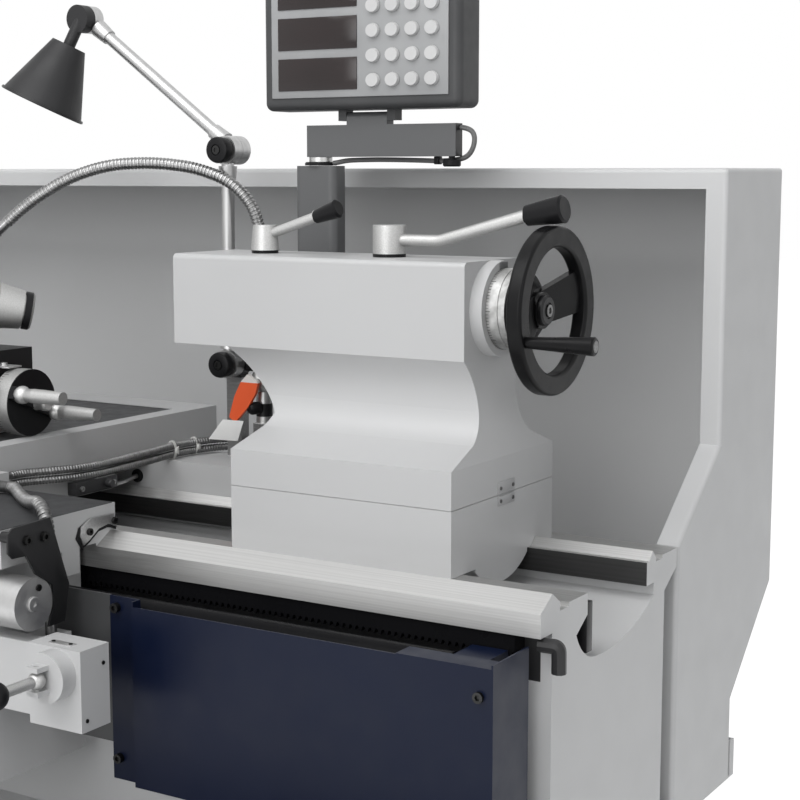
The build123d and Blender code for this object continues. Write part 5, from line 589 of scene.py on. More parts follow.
# Painted shade: the castings wear the sheet's light grey enamel, painted a shade darker.
shaded_casting_grey = enamel((0.54, 0.542, 0.545), (0.515, 0.517, 0.52), 0.38)
shaded_casting_paint = finish("casting enamel", shaded_casting_grey)
dress(shaded_casting_paint, "headstock")
alloy = ground(grey(0.62), grey(0.56), (3.0, 400.0, 400.0), (0.38, 0.5))
plate_alloy = finish("bare plate alloy", alloy)
ground_steel = finish("ground steel", ground(grey(0.5), grey(0.42)))
soft_shine = 0.14
black_plastic = moulded((0.008, 0.008, 0.009), (0.013, 0.013, 0.014), 0.36)
black_mould = finish("black plastic", black_plastic, specular=soft_shine)
oil_glass = finish("oil sight glass", moulded((0.42, 0.25, 0.04), (0.5, 0.32, 0.06), 0.12))
head_front, head_top, lid_rise, plate_rise, panel_rise = -0.205, 1.31, 0.009, 0.0012, 0.004
box = ((-0.955, -0.175, head_top - 0.001), (-0.455, 0.205, head_top + lid_rise))
boxed("headstock_lid", 0.003, shaded_casting_paint, "machine", "grey_paint", box)
spots = spots_at((-0.935, -0.77, -0.64, -0.475), (-0.155, 0.185), (head_top + lid_rise,), UP)
set_screws("headstock_lid_screws", spots, 0.008, 0.012, "machine")
chart_plate("headstock_chart_plate", head_front, -0.79, -0.65, 0.93, 1.06)
spots = spots_at((-0.783, -0.657), (head_front - plate_rise,), (0.937, 1.053), FRONT)
set_screws("chart_plate_screws", spots, 0.0028, 0.003, "machine", ground_steel, "bright_steel")
rim_line = ((0, 0.014), (0, 0.02), (0.004, 0.02), (0.006, 0.018), (0.006, 0.014))
glass_line = ((0, 0.0138), (0.003, 0.0138), (0.0045, 0.009), (0.005, 0))
oil_sight("oil_sight", (-0.9, head_front, 0.96), rim_line, glass_line, 32, "machine")
box = ((-0.5, head_front - panel_rise, 0.985), (-0.445, head_front + 0.0005, 1.135))
boxed("button_panel", 0.0018, black_mould, "machine", "black_plastic", box)
cap_line = ((0, 0.015), (0.003, 0.015), (0.0035, 0.0125), (0.008, 0.0125), (0.0095, 0.011))
for button_name, button_z, colour, bright in (
    ("start_button", 1.108, (0.01, 0.16, 0.03), (0.015, 0.2, 0.04)),
    ("jog_button", 1.06, (0.012, 0.012, 0.013), (0.02, 0.02, 0.021)),
    ("power_light", 1.012, (0.55, 0.55, 0.53), (0.65, 0.65, 0.62)),
):
    cap_paint = finish(button_name, moulded(colour, bright, 0.25))
    place = (-0.4725, head_front - panel_rise, button_z)
    turned(button_name, place, FRONT, cap_line, cap_paint, "machine")


# Speed levers and stop button
# Turned hubs and arms with black balls, each over a ring of engraved marks, and
# a red mushroom button.
def tipped(name, steel, *tips):
    """Steel, with black plastic within the limits of each tip."""
    return finish(name, steel, *((black_plastic, limits) for limits in tips), specular=soft_shine)


dress(tipped("speed lever", turned_steel, {"z": (1.279, 1.35)}), "speed_lever_left", "speed_lever_right")
dress(finish("red cap", moulded((0.42, 0.015, 0.01), (0.5, 0.022, 0.015), 0.25)), "stop_button")
tree, given = new_tree(
    "engraved marks", Count="Int", Every="Int", Radius="Float", Size="Vector", Lean="Vector", Long="Vector",
    Place="Vector", Turn="Vector", Ink="Material",
)
circle = add(tree, "GeometryNodeMeshCircle", {"Vertices": given["Count"], "Radius": given["Radius"]})
bar = add(tree, "GeometryNodeMeshCube", {"Size": given["Size"]})
shift = add(tree, "ShaderNodeVectorMath", {0: given["Size"], 1: given["Lean"]}, operation="MULTIPLY")
stand = shaped(tree, bar, Translation=shift)
number = add(tree, "GeometryNodeInputIndex")
angle = work(tree, "MULTIPLY", number, work(tree, "DIVIDE", 2 * pi, given["Count"]))
euler = add(tree, "ShaderNodeCombineXYZ", {"Z": angle})
rotation = add(tree, "FunctionNodeEulerToRotation", {"Euler": euler})
is_long = work(tree, "LESS_THAN", work(tree, "MODULO", number, given["Every"]), 0.5)
lengths = {0: is_long, 4: (1.0, 1.0, 1.0), 5: given["Long"]}
scale = add(tree, "ShaderNodeMix", lengths, data_type="VECTOR").outputs[1]
spread = scatter(tree, circle, stand, Rotation=rotation, Scale=scale)
mark_tree = end_tree(tree, put(tree, spread, given["Place"], given["Turn"]), given["Ink"])
# Black ink for the engraved marks; on the chuck it is painted shade for the key socket holes.
ink_and_hole_shade = finish("engraved ink and hole shade", moulded((0.01, 0.01, 0.011), (0.02, 0.02, 0.021), 0.6), specular=0.2)


def set_marks(name, place, turn, radius, size, lean, long, count, every, body):
    """Engrave marks round a circle, with one in so many of them long."""
    grow(
        name, mark_tree, body, "black_plastic", Count=count, Every=every, Radius=radius, Size=size, Lean=lean,
        Long=long, Place=place, Turn=turn, Ink=ink_and_hole_shade,
    )


def drum_marks(name, place, turn, radius, length, count, every, body):
    """Marks along the edge of a round drum."""
    size, lean, long = (0.0003, 0.0005, length), (0.0, 0.0, 0.5), (1.0, 1.2, 1.7)
    set_marks(name, place, turn, radius, size, lean, long, count, every, body)


def marked_ring(name, end, place, inner, outer, radius, length, count, every, body):
    """A bare flat ring on a front face, with marks that point outwards."""
    rise = 0.001
    flat = ((-0.0005, inner), (rise, inner), (rise, outer), (-0.0005, outer))
    turned(name + "_ring" + end, place, FRONT, flat, plate_alloy, body, 48, True)
    size, lean, long = (length, 0.0007, 0.0003), (0.5, 0.0, 0.0), (1.6, 1.2, 1.0)
    x, y, z = place
    top = (x, y - rise, z)
    set_marks(name + "_marks" + end, top, FACING_FRONT, radius, size, lean, long, count, every, body)


for lever_end, lever_x in (("_left", -0.835), ("_right", -0.605)):
    marked_ring("speed", lever_end, (lever_x, head_front, 1.19), 0.031, 0.058, 0.042, 0.007, 16, 4, "machine")

# Feed gearbox
# A casting bolted under the headstock, with three selector knobs, each over a
# marked ring, and a bare chart plate.
dress(shaded_casting_paint, "feed_gearbox")
box_front, knob_z = -0.33, 0.745
grip_line = ((0, 0.026), (0.008, 0.026), (0.011, 0.02), (0.026, 0.017), (0.029, 0.014))
for knob_end, knob_x in (("_left", -0.9), ("_middle", -0.78), ("_right", -0.66)):
    place = (knob_x, box_front, knob_z)
    marked_ring("feed", knob_end, place, 0.02, 0.042, 0.032, 0.005, 12, 3, "machine")
    knob = bmesh.new()
    turn_profile(knob, place, FRONT, grip_line)
    bar_low = (knob_x - 0.004, box_front - 0.032, knob_z - 0.02)
    round_box(knob, bar_low, (knob_x + 0.004, box_front - 0.01, knob_z + 0.024), 0.0015)
    lay_mesh("feed_knob" + knob_end, knob, black_mould, "machine")
chart_plate("feed_chart_plate", box_front, -0.925, -0.635, 0.61, 0.685)
spots = spots_at((-0.96, -0.73, -0.5), (box_front,), (0.595, 0.797), FRONT)
set_screws("feed_gearbox_screws", spots, 0.007, 0.012, "machine")

# Motor, pulleys and belts
# Cast pulleys with a set of rubber belts, driven by a motor in the cabinet.
cast_black = enamel((0.016, 0.016, 0.017), (0.024, 0.024, 0.026), 0.5)
cast_iron = finish("black cast iron", cast_black, specular=0.35)
dress(cast_iron, "drive_motor", "input_pulley", "motor_pulley")
dress(finish("belt rubber", rubber), "drive_belts")


# End cover
# A folded door over the belts, hung at the back, with louvres and a bow handle.
def at_x(x, line):
    """The points of a (y, z) line, all at one x."""
    return [(x, y, z) for y, z in line]


dress(sheet_paint, "end_cover")
for ladder_name, ladder_y in (("front", -0.1), ("back", 0.12)):
    set_louvres("cover_louvres_" + ladder_name, (-1.155, ladder_y, 0.42), 12, 0.16, -pi / 2, "cover")
handle_line = (
    (-0.2245, 0.74), (-0.245, 0.74), (-0.262, 0.745), (-0.262, 0.79), (-0.262, 0.835), (-0.245, 0.84),
    (-0.2245, 0.84),
)
bend_pipe("cover_handle", at_x(-1.07, handle_line), 0.006, black_mould, "cover")

# Spindle, chuck and jaws
# Turned steel, with three key sockets round the chuck and cap screws in its face.
chuck_steel = ground(grey(0.55), grey(0.46), (380.0, 6.0, 6.0), (0.28, 0.4), 0.01)
dress(finish("turned chuck steel", chuck_steel), "spindle", "chuck_body")
dress(ground_steel, "chuck_jaw_1", "chuck_jaw_2", "chuck_jaw_3")
centre_z, chuck_radius = 1.12, 0.1245
ring_line = ((0, 0.009), (0, 0.013), (0.0012, 0.013), (0.0018, 0.012), (0.0018, 0.009))
hole_line = ((0, 0.009), (0.0009, 0.009))
# Painted shade: each key socket is a flat black square standing for the dark inside of the hole.
key_ring = bmesh.new()
key_hole = bmesh.new()
spots = []
for third in range(3):
    turn = radians(30 + 120 * third)
    out = Vector((0.0, cos(turn), sin(turn)))
    foot = Vector((-0.318, 0.0, centre_z)) + out * chuck_radius
    turn_profile(key_ring, foot, out, ring_line, 24, ring=True)
    turn_profile(key_hole, foot, out, hole_line, 4)
    for reach in (0.062, 0.098):
        spots.append((Vector((-0.27, 0.0, centre_z)) + out * reach, RIGHT))
lay_mesh("chuck_key_rings", key_ring, ground_steel, "spindle_set")
lay_mesh("chuck_key_sockets", key_hole, ink_and_hole_shade, "spindle_set")
set_screws("chuck_face_screws", spots, 0.007, 0.003, "spindle_set", slot="bright_steel")

# Saddle
# An enamelled casting that slides on the ways, under a dark rubber mat, with a
# steel and rubber wiper over the front way and a bent bracket for the conduit.
dress(shaded_casting_paint, "saddle")
mat_look = moulded((0.05, 0.051, 0.053), (0.062, 0.063, 0.066), 0.55)
mat_dark = finish("saddle mat rubber", mat_look, specular=soft_shine)
mats = [
    ((left, -0.3515, 0.8879), (right, -0.172, 0.8889)) for left, right in ((0.4175, 0.584), (-0.0135, 0.1475))
]
boxed("saddle_mat", 0.0003, mat_dark, "carriage", "black_rubber", *mats)
saddle_end = 0.585
wiper_line = (
    (-0.2304, 0.8697), (-0.2151, 0.8773), (-0.1751, 0.876), (-0.17, 0.8593), (-0.1785, 0.8641),
    (-0.1854, 0.8661), (-0.2014, 0.8636), (-0.2177, 0.8526), (-0.2272, 0.8479), (-0.2324, 0.8585),
)
wiper = bmesh.new()
cut_plate(wiper, at_x(saddle_end + 0.0016, wiper_line), (0.0022, 0, 0))
lay_mesh("way_wiper", wiper, ground_steel, "carriage")
lip_line = (
    (-0.232, 0.869), (-0.215, 0.875), (-0.176, 0.874), (-0.1695, 0.86), (-0.169, 0.856),
    (-0.1785, 0.86), (-0.185, 0.8615), (-0.1995, 0.8595), (-0.2155, 0.849), (-0.2275, 0.843),
    (-0.237, 0.857),
)
lip = bmesh.new()
cut_plate(lip, at_x(saddle_end - 0.0002, lip_line), (0.0018, 0, 0), 0.0003)
lip_rubber = finish("wiper rubber", rubber, specular=soft_shine)
lay_mesh("way_wiper_lip", lip, lip_rubber, "carriage")
spots = [((0.5888, -0.2179, 0.8625), RIGHT), ((0.5888, -0.1755, 0.868), RIGHT)]
set_screws("way_wiper_screws", spots, 0.0042, 0.006, "carriage")
bracket_line = (
    (-0.3688, 0.8977), (-0.312, 0.8995), (-0.304, 0.8762), (-0.285, 0.821), (-0.293, 0.78),
    (-0.32, 0.7793), (-0.3105, 0.8), (-0.3105, 0.825), (-0.3371, 0.8415), (-0.3496, 0.8648),
    (-0.3703, 0.8647), (-0.3764, 0.8713), (-0.3755, 0.8926),
)
bracket = bmesh.new()
cut_plate(bracket, at_x(0.6165, bracket_line), (0.0025, 0, 0), 0.0006)
spacer_line = ((0, 0.006), (0.032, 0.006))
for spacer_y in (-0.3494, -0.3232):
    turn_profile(bracket, (0.5848, spacer_y, 0.881), RIGHT, spacer_line, 16)
lay_mesh("conduit_bracket", bracket, black_oxide, "carriage")
spots = [((0.619, -0.3494, 0.8813), RIGHT), ((0.619, -0.3232, 0.8807), RIGHT)]
set_screws("conduit_bracket_screws", spots, 0.0055, 0.009, "carriage")

# Reading head of the readout
# A small die-cast head on the side of the saddle bridge, with a cable nut and a
# guide rod that runs back through a grommet in the saddle's rear wing.
head_grey = finish("reading head enamel", enamel((0.05, 0.05, 0.052), (0.042, 0.042, 0.044), 0.4))
head_left, head_right, head_z = 0.4025, 0.4185, 0.866
nut_line = ((0, 0.006), (0.007, 0.006), (0.009, 0.0045))
shape = bmesh.new()
round_box(shape, (head_left, -0.052, 0.8575), (head_right, 0.0275, 0.8745), 0.0018)
turn_profile(shape, (0.418, 0.0075, head_z), RIGHT, nut_line, 20)
lay_mesh("reading_head", shape, head_grey, "carriage")
box = ((head_left, -0.012, 0.8735), (0.4165, 0.024, 0.879))
boxed("reading_head_lid", 0.0012, plate_alloy, "carriage", "bright_steel", box)
spots = spots_at((head_right,), (-0.042, 0.018), (head_z,), RIGHT)
set_screws("reading_head_screws", spots, 0.0035, 0.005, "carriage", ground_steel, "bright_steel")
rod_line = ((0.4085, 0.0265, 0.86), (0.404, 0.05, 0.858), (0.396, 0.08, 0.859), (0.392, 0.0995, 0.859))
bend_pipe("reading_head_rod", rod_line, 0.0032, ground_steel, "carriage")
grommet_line = ((0, 0.0035), (0, 0.009), (0.003, 0.009), (0.0045, 0.0075), (0.0045, 0.0035))
turned(
    "wing_grommet", (0.392, 0.0992, 0.859), FRONT, grommet_line, lip_rubber, "carriage",
    24, True,
)

# Apron and its controls
# An enamelled casting hung from the saddle, dark on the end that faces the guard,
# with a satin clutch housing, a switch box and a marked ring behind the wheel.
plate_dark = enamel((0.06, 0.061, 0.063), (0.05, 0.051, 0.053), 0.42)
dress(finish("apron enamel", shaded_casting_grey, (plate_dark, {"x": (0.5635, 0.66), "y": (-0.27, -0.25)})), "apron")
clutch_satin = ground(grey(0.5), grey(0.43), (60.0, 60.0, 60.0), (0.4, 0.5), 0.01)
clutch_steel = finish("clutch housing", clutch_satin)
dress(clutch_steel, "feed_clutch")
clutch_end, switch_top, switch_end, apron_front = 0.618, 0.7788, 0.71, -0.35
plug_line = ((-0.001, 0.0085), (0.0015, 0.0085), (0.0022, 0.0075), (0.0022, 0.003), (0.0008, 0.003))
place = (clutch_end, -0.341, 0.8095)
turned("clutch_plug", place, RIGHT, plug_line, clutch_steel, "carriage")
set_screws("clutch_screw", [((clutch_end, -0.3325, 0.826), RIGHT)], 0.0038, 0.004, "carriage")
box = ((0.6565, -0.361, 0.7778), (0.6875, -0.35, switch_top))
boxed("switch_box_plate", 0.0003, plate_alloy, "carriage", "bright_steel", box)
spots = spots_at((0.66, 0.684), (-0.3555,), (switch_top,), UP)
spots += [((switch_end, -0.3353, 0.7581), RIGHT), ((switch_end, -0.362, 0.702), RIGHT)]
set_screws("switch_box_screws", spots, 0.0022, 0.002, "carriage")
blasted_steel = ground((0.52, 0.52, 0.515), (0.46, 0.46, 0.455), (700.0, 700.0, 700.0), (0.44, 0.54))
blasted_metal = finish("blasted steel", blasted_steel)
dress(tipped("joystick", blasted_steel, {"y": (-0.48, -0.445)}), "feed_joystick")
dress(tipped("half-nut lever", blasted_steel, {"z": (0.6, 0.642)}), "half_nut_lever")
hub_limits = {"y": (-0.395, -0.34)}
wheel_paint = finish("apron wheel", black_plastic, (blasted_steel, hub_limits), specular=soft_shine)
dress(wheel_paint, "apron_handwheel")
wheel_low, wheel_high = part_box("apron_handwheel")
wheel_x = (wheel_low[0] + wheel_high[0]) / 2
marked_ring("apron_wheel", "", (wheel_x, apron_front, 0.71), 0.029, 0.05, 0.04, 0.005, 60, 5, "carriage")
rim_line = ((0, 0.011), (0, 0.016), (0.003, 0.016), (0.005, 0.014), (0.005, 0.011))
glass_line = ((0, 0.0108), (0.0025, 0.0108), (0.004, 0.006))
oil_sight("apron_sight", (0.13, apron_front, 0.7), rim_line, glass_line, 28, "carriage")

# Cross slide and its crank
# An enamelled slide with a dark pad let into its top, and a graduated crank.
pad_look = moulded((0.045, 0.046, 0.048), (0.058, 0.059, 0.062), 0.5)
pad_limits = {"z": (0.9372, 0.9388), "x": (0.1795, 0.3855), "y": (-0.2355, 0.1875)}
dress(finish("cross slide enamel", shaded_casting_grey, (pad_look, pad_limits)), "cross_slide")
dress(blasted_metal, "cross_crank")
drum_marks("cross_crank_marks", (0.2825, -0.3545, 0.87), FACING_FRONT, 0.036, 0.005, 80, 5, "crank")

# Compound, top slide and tool post
# A marked swivel disc under a black-oxided slide with an index plate over its dial,
# a crank with two ball ends, and a square post with bolts over its tool slots.
dress(ground_steel, "compound_base")
drum_marks("compound_marks", (0.24, -0.1, 0.953), FACING_UP, 0.09, 0.006, 120, 10, "compound")
dress(black_oxide, "top_slide", "tool_post")
plate_top, bolt_x, bolt_z, crank_y, crank_z = 1.0282, 0.203, 1.1403, -0.1, 0.983
box = ((0.3365, -0.118, 1.0262), (0.371, -0.094, plate_top))
boxed("top_slide_plate", 0.0004, plate_alloy, "top", "bright_steel", box)
spots = [((0.352, -0.106, plate_top), UP)]
set_screws("top_slide_plate_screw", spots, 0.0045, 0.007, "top", ground_steel, "bright_steel")
spots = spots_at((bolt_x, 0.233, 0.263), (-0.13,), (bolt_z,), UP)
spots += spots_at((bolt_x,), (-0.1, -0.07), (bolt_z,), UP)
set_screws("tool_clamp_bolts", spots, 0.0065, 0.024, "post", ground_steel, "bright_steel")
dress(tipped("top crank", blasted_steel, {"x": (0.3905, 0.4026)}), "top_crank")
drum_marks("top_crank_marks", (0.3662, crank_y, crank_z), FACING_RIGHT, 0.042, 0.005, 60, 5, "top_handle")
hub_line = ((-0.002, 0.009), (0.006, 0.0075), (0.01, 0.009), (0.016, 0.009), (0.018, 0.007))
ball_line = (
    (-0.0095, 0.0062), (-0.0075, 0.0085), (-0.004, 0.0107), (0, 0.0115), (0.004, 0.0107),
    (0.0075, 0.0085), (0.0095, 0.0062),
)
balls = bmesh.new()
turn_profile(balls, (0.4025, crank_y, crank_z), RIGHT, hub_line)
for ball_y, ball_z in ((-0.1299, 0.997), (-0.0701, 0.969)):
    turn_profile(balls, (0.4055, ball_y, ball_z), RIGHT, ball_line)
lay_mesh("top_crank_balls", balls, blasted_metal, "top_handle")
knob_satin = ground((0.5, 0.5, 0.495), (0.45, 0.45, 0.445), (700.0, 700.0, 700.0), (0.5, 0.58))
dress(finish("tool post knob", knob_satin), "tool_post_knob")
knob_end, knob_axis = (0.3212, -0.0367, 1.0916), (0.6545, 0.7269, -0.2079)
cap_line = ((0, 0.0247), (0.0085, 0.0247), (0.0105, 0.0225), (0.0114, 0.019))
turned("tool_post_knob_cap", knob_end, knob_axis, cap_line, black_mould, "post_knob", 36)

# Accessory rail and conduits
# A bar on the saddle's rear foot. Two ribbed conduits run from it to the saddle,
# tied together twice, and a fat one goes on to the switch box.
rail_steel = ground(grey(0.4), grey(0.34))
rail_paint = finish(
    "rail enamel", shaded_casting_grey, (rail_steel, {"z": (0.8855, 1.1)}), (black_plastic, {"z": (0.9935, 1.1)})
)
dress(rail_paint, "accessory_rail")
conduit_steel = ground(grey(0.23), grey(0.16), (160.0, 160.0, 160.0), (0.36, 0.44), 0.01)
dress(finish("conduit steel", conduit_steel), "conduits")
tie_white = finish("cable tie nylon", moulded((0.6, 0.6, 0.58), (0.68, 0.68, 0.66), 0.4))
tie_z, tie_stretch = 0.8975, 1.75
band_line = ((0, 0.0062), (0, 0.0074), (0.0036, 0.0074), (0.0036, 0.0062))
ties = bmesh.new()
for tie_x, tie_y in ((0.445, 0.108), (0.449, 0.15)):
    start = len(ties.verts)
    turn_profile(ties, (tie_x, tie_y - 0.0018, tie_z), BACK, band_line, ring=True)
    for corner in list(ties.verts)[start:]:
        corner.co.z = tie_z + (corner.co.z - tie_z) * tie_stretch
    round_box(ties, (tie_x + 0.0065, tie_y - 0.0025, 0.894), (tie_x + 0.0105, tie_y + 0.0025, 0.901), 0.0007)
lay_mesh("cable_ties", ties, tie_white, "carriage")

# Lamp
# Two jointed rods with black clamp knobs, and a spun shade with a lipped edge
# over a frosted bulb.
rod_satin = ground(grey(0.54), grey(0.47), (200.0, 200.0, 4.0), (0.34, 0.44), 0.01)
dress(finish("lamp arm", rod_satin), "lamp_lower_arm", "lamp_upper_arm")
dress(cast_iron, "lamp_head")
knob_line = (
    (0, 0.014), (0.002, 0.0165), (0.013, 0.0175), (0.0165, 0.0165), (0.018, 0.013), (0.018, 0.0075),
    (0.0165, 0.0068),
)
for knob_name, knob_x, knob_z in (("low", 0.502, 1.013), ("high", 0.504, 1.298)):
    place = (knob_x, 0.1548, knob_z)
    turned("lamp_knob_" + knob_name, place, FRONT, knob_line, black_mould, "lamp_low", 36)
    set_screws("lamp_knob_screw_" + knob_name, [((knob_x, 0.1383, knob_z), FRONT)], 0.0058, 0.003, "lamp_low")
box = ((0.5195, 0.1735, 1.003), (0.5435, 0.1885, 1.02))
boxed("lamp_stem_block", 0.0015, black_mould, "carriage", "black_plastic", box)
shade_out = Vector((-0.3509, -0.2506, -0.9023))
shade_base = Vector((0.252, 0.1632, 1.48)) + shade_out * 0.04
shade_rim = shade_base + shade_out * 0.09
lip_line = ((-0.002, 0.0552), (-0.002, 0.0598), (0.001, 0.0606), (0.002, 0.059), (0.002, 0.0552))
turned("lamp_shade_lip", shade_rim, shade_out, lip_line, black_oxide, "lamp_shade", 48, True)
bulb_line = (
    (0, 0.013), (0.022, 0.013), (0.03, 0.019), (0.044, 0.026), (0.058, 0.0275), (0.07, 0.023),
    (0.079, 0.012), (0.0815, 0),
)
bulb_foot = shade_base + shade_out * 0.0032
bulb_glass = finish("frosted glass", moulded((0.72, 0.72, 0.7), (0.8, 0.8, 0.78), 0.35))
turned("lamp_bulb", bulb_foot, shade_out, bulb_line, bulb_glass, "lamp_shade", 32)

# Coolant tap and gooseneck
# A ball tap on the rail with an orange lever, a black elbow and a bare tag on a
# wire, and a gooseneck of wound steel that holds the shape it is bent to.
tap_paint = finish("tap steel", turned_steel, (black_plastic, {"z": (0.9445, 0.962)}), specular=0.3)
dress(tap_paint, "coolant_valve")
orange = moulded((0.84, 0.115, 0.033), (0.88, 0.13, 0.04), 0.34)
pale_cap = moulded((0.74, 0.7, 0.67), (0.8, 0.77, 0.74), 0.4)
dress(finish("tap lever", orange, (pale_cap, {"z": (0.9925, 1.01)})), "valve_lever")
hose_steel = ground(grey(0.34), grey(0.26), (160.0, 160.0, 160.0), (0.26, 0.34), 0.01)
dress(finish("gooseneck steel", hose_steel), "coolant_hose")
upper_nut = ((0, 0.0145), (0.001, 0.0155), (0.013, 0.0155), (0.014, 0.0145))
lower_nut = ((0, 0.016), (0.009, 0.016), (0.01, 0.015))
tap_nuts = bmesh.new()
for nut_z, nut_line in ((0.922, upper_nut), (0.8848, lower_nut)):
    turn_profile(tap_nuts, (0.553, 0.172, nut_z), UP, nut_line, 6)
lay_mesh("tap_nuts", tap_nuts, ground_steel, "carriage")
plug_line = ((0, 0.0085), (0.011, 0.0085), (0.014, 0.007), (0.016, 0.004))
plug_end, plug_axis = (0.5525, 0.158, 0.957), (-0.2, -1, 0)
turned("tap_plug", plug_end, plug_axis, plug_line, black_mould, "carriage", 24)
tag_line = (
    (0.5062, 0.1405, 0.9396), (0.5413, 0.1405, 0.9404), (0.5342, 0.136, 0.9134), (0.4854, 0.136, 0.912),
)
tag_card = finish("tag card", moulded((0.7, 0.7, 0.69), (0.76, 0.76, 0.75), 0.5))
tag = bmesh.new()
cut_plate(tag, tag_line, (0.0, 0.0008, 0.0), 0.0002)
lay_mesh("bare_tag", tag, tag_card, "carriage")
wire_line = ((0.523, 0.1409, 0.9385), (0.528, 0.148, 0.944), (0.536, 0.155, 0.95), (0.5425, 0.164, 0.953))
bend_pipe("tag_wire", wire_line, 0.0008, ground_steel, "carriage")

# Readout post, arm and console
# A dark enamelled tube and beam with a bright swivel ring, a thumb screw and a cable
# clipped below, and a plastic console with three dark windows and a keypad.
dress(dark_paint, "readout_post")
beam_paint = finish(
    "readout beam enamel", dark_grey,
    (black_plastic, {"x": (0.8505, 0.8525), "z": (1.287, 1.33)}), (turned_steel, {"z": (1.2765, 1.2878)}),
)
dress(beam_paint, "readout_arm")
console_look = moulded((0.05, 0.051, 0.053), (0.062, 0.063, 0.065), 0.45)
dress(finish("console plastic", console_look, specular=0.35), "readout_console")
post_y, console_face = 0.172, 0.1445
thumb_line = (
    (0, 0.004), (0.0035, 0.004), (0.0035, 0.0095), (0.005, 0.0112), (0.0112, 0.0112), (0.0128, 0.0095),
)
place = (0.841, post_y, 1.2885)
turned("beam_thumb_screw", place, DOWN, thumb_line, black_mould, "display_arm", 32)
cable_line = (
    (0.6665, 0.172, 1.2805), (0.673, 0.173, 1.2812), (0.684, 0.176, 1.2838), (0.704, 0.179, 1.2845),
    (0.741, 0.18, 1.2848), (0.796, 0.18, 1.2835), (0.8175, 0.18, 1.2826), (0.842, 0.1802, 1.2837),
    (0.8575, 0.1802, 1.287), (0.8665, 0.18, 1.2975), (0.869, 0.18, 1.3125), (0.863, 0.178, 1.322),
    (0.8505, 0.176, 1.3235),
)
sheath = finish("cable sheath", moulded(grey(0.13), grey(0.16), 0.5))
bend_pipe("beam_cable", cable_line, 0.0032, sheath, "display_arm")
collar_line = ((0, 0.0152), (0, 0.0205), (0.0028, 0.0205), (0.0044, 0.019), (0.0044, 0.0152))
clips = bmesh.new()
round_box(clips, (0.8135, 0.1745, 1.2785), (0.8205, 0.1848, 1.2885), 0.0012)
turn_profile(clips, (0.647, post_y, 1.2776), UP, collar_line, 40, ring=True)
lay_mesh("beam_clip_and_collar", clips, black_mould, "display_arm")
window_glass = finish("display window", moulded((0.012, 0.006, 0.006), (0.016, 0.008, 0.008), 0.12))
bezel_foil = finish("bezel foil", moulded((0.32, 0.325, 0.33), (0.36, 0.365, 0.37), 0.4))
box = ((0.592, console_face - 0.002, 1.362), (0.852, console_face + 0.0005, 1.521))
boxed("console_bezel", 0.0009, bezel_foil, "display", "dark_paint", box)
windows = [
    ((0.603, console_face - 0.0034, window_z), (0.722, console_face - 0.0018, window_z + 0.04))
    for window_z in (1.371, 1.4215, 1.472)
]
boxed("console_windows", 0.0007, window_glass, "display", "black_plastic", *windows)
tree, given = new_tree(
    "keypad", Columns="Int", Rows="Int", Wide="Float", High="Float", Key="Vector", Place="Vector",
    Cap="Material",
)
sides = {"Size X": given["Wide"], "Size Y": given["High"]}
counts = {"Vertices X": given["Columns"], "Vertices Y": given["Rows"]}
grid = add(tree, "GeometryNodeMeshGrid", {**sides, **counts})
cone = {"Vertices": 16, "Radius Top": 0.44, "Radius Bottom": 0.5, "Depth": 1.0}
cap = add(tree, "GeometryNodeMeshCone", cone)
size = shaped(tree, cap, Scale=given["Key"])
key_tree = end_tree(tree, put(tree, scatter(tree, grid, size), given["Place"], FACING_FRONT), given["Cap"])
key_paint = finish("key cap", moulded(grey(0.55), grey(0.62), 0.4))
grow(
    "console_keys", key_tree, "display", "black_plastic", Columns=4, Rows=5, Wide=0.084, High=0.12,
    Key=(0.02, 0.018, 0.004), Place=(0.788, console_face - 0.003, 1.4415), Cap=key_paint,
)
spots = spots_at((0.597, 0.847), (0.1995,), (1.366, 1.516), BACK)
set_screws("console_back_screws", spots, 0.0045, 0.004, "display")

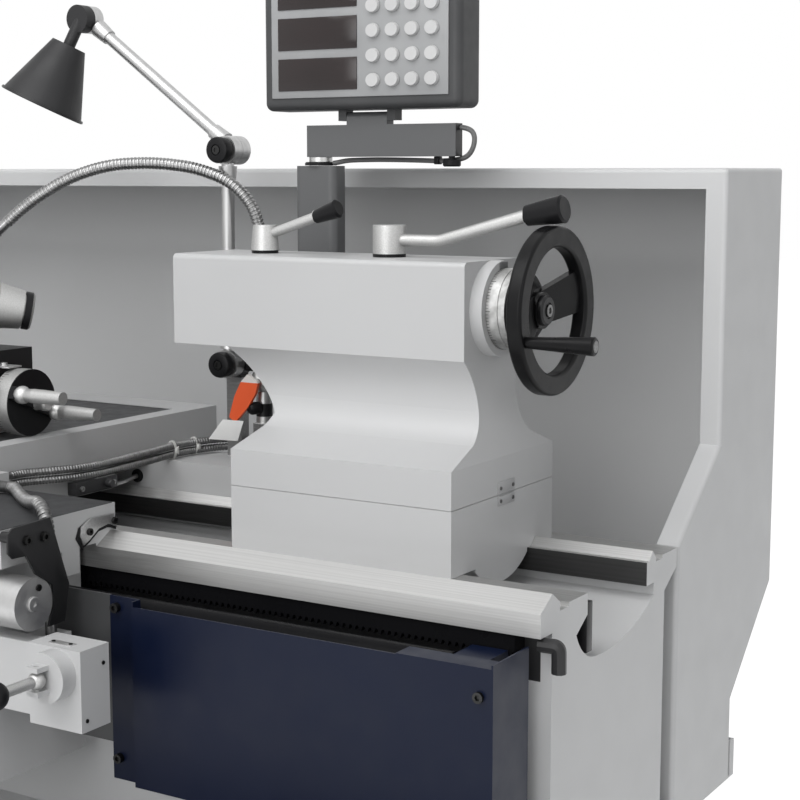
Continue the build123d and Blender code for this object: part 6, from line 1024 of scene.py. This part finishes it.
# Tailstock castings
# Two enamelled castings, one set across on the other, with a grey witness plate
# over the joint and an index plate on the quill flange.
dress(shaded_casting_paint, "tailstock_base", "tailstock_body", "end_flange")
witness_grey = finish("witness plate", enamel((0.42, 0.42, 0.425), (0.38, 0.38, 0.385), 0.4))
dark_metal = finish("dark steel", dark_steel)
witness_face = 1.0094
plates = [
    ((1.0078, -0.016, foot), (witness_face, 0.022, top)) for foot, top in ((0.9142, 0.928), (0.901, 0.912))
]
boxed("witness_plate", 0.0003, witness_grey, "tailstock", "bright_steel", *plates)
spots = spots_at((witness_face,), (-0.0115, 0.0175), (0.921, 0.9065), RIGHT)
set_screws("witness_screws", spots, 0.0022, 0.002, "tailstock", dark_metal)
box = ((1.0058, -0.0125, 1.163), (1.0072, 0.005, 1.1715))
boxed("quill_index_plate", 0.0003, dark_paint, "tailstock", "dark_paint", box)

# Quill, dial and handwheel
# A ground quill, a graduated dial of mottled steel, and a satin black wheel held
# by a cap nut, with a black turning grip that ends in a dark steel disc.
dress(drawn_steel, "quill")
mottled = ground((0.52, 0.52, 0.515), (0.33, 0.33, 0.325), (90.0, 90.0, 90.0), (0.46, 0.56))
dress(finish("dial steel", mottled), "quill_dial")
drum_marks("quill_dial_marks", (1.0066, 0.0, centre_z), FACING_RIGHT, 0.045, 0.0032, 80, 10, "tail_wheel")
wheel_black = moulded((0.004, 0.004, 0.0045), (0.007, 0.007, 0.0075), 0.32)
dress(finish("wheel plastic", wheel_black, specular=soft_shine), "tailstock_handwheel", "handwheel_grip")
nut_line = ((-0.001, 0.0165), (0.004, 0.0165), (0.006, 0.0145), (0.006, 0.009), (0.0045, 0.0085))
place = (1.0543, 0.0, centre_z)
turned("wheel_cap_nut", place, RIGHT, nut_line, black_oxide, "tail_wheel", 36)
spots = [((1.0593, 0.0, centre_z), RIGHT)]
set_screws("wheel_centre_screw", spots, 0.0068, 0.005, "tail_wheel", dark_metal, "bright_steel")
disc_line = ((-0.001, 0.0062), (0.0008, 0.0062), (0.0016, 0.005))
place = (1.1505, -0.0756, 1.0925)
turned("grip_end_disc", place, RIGHT, disc_line, dark_metal, "tail_grip", 24)

# Tailstock levers
# Bead-blasted hubs on black washers, with black turned knobs on their arms.
washer = {"z": (1.17, 1.1768)}
dress(tipped("lock lever", blasted_steel, {"x": (0.7555, 0.8)}, washer), "quill_lock_lever")
dress(tipped("clamp lever", blasted_steel, {"x": (1.0305, 1.1)}, washer), "clamp_lever")
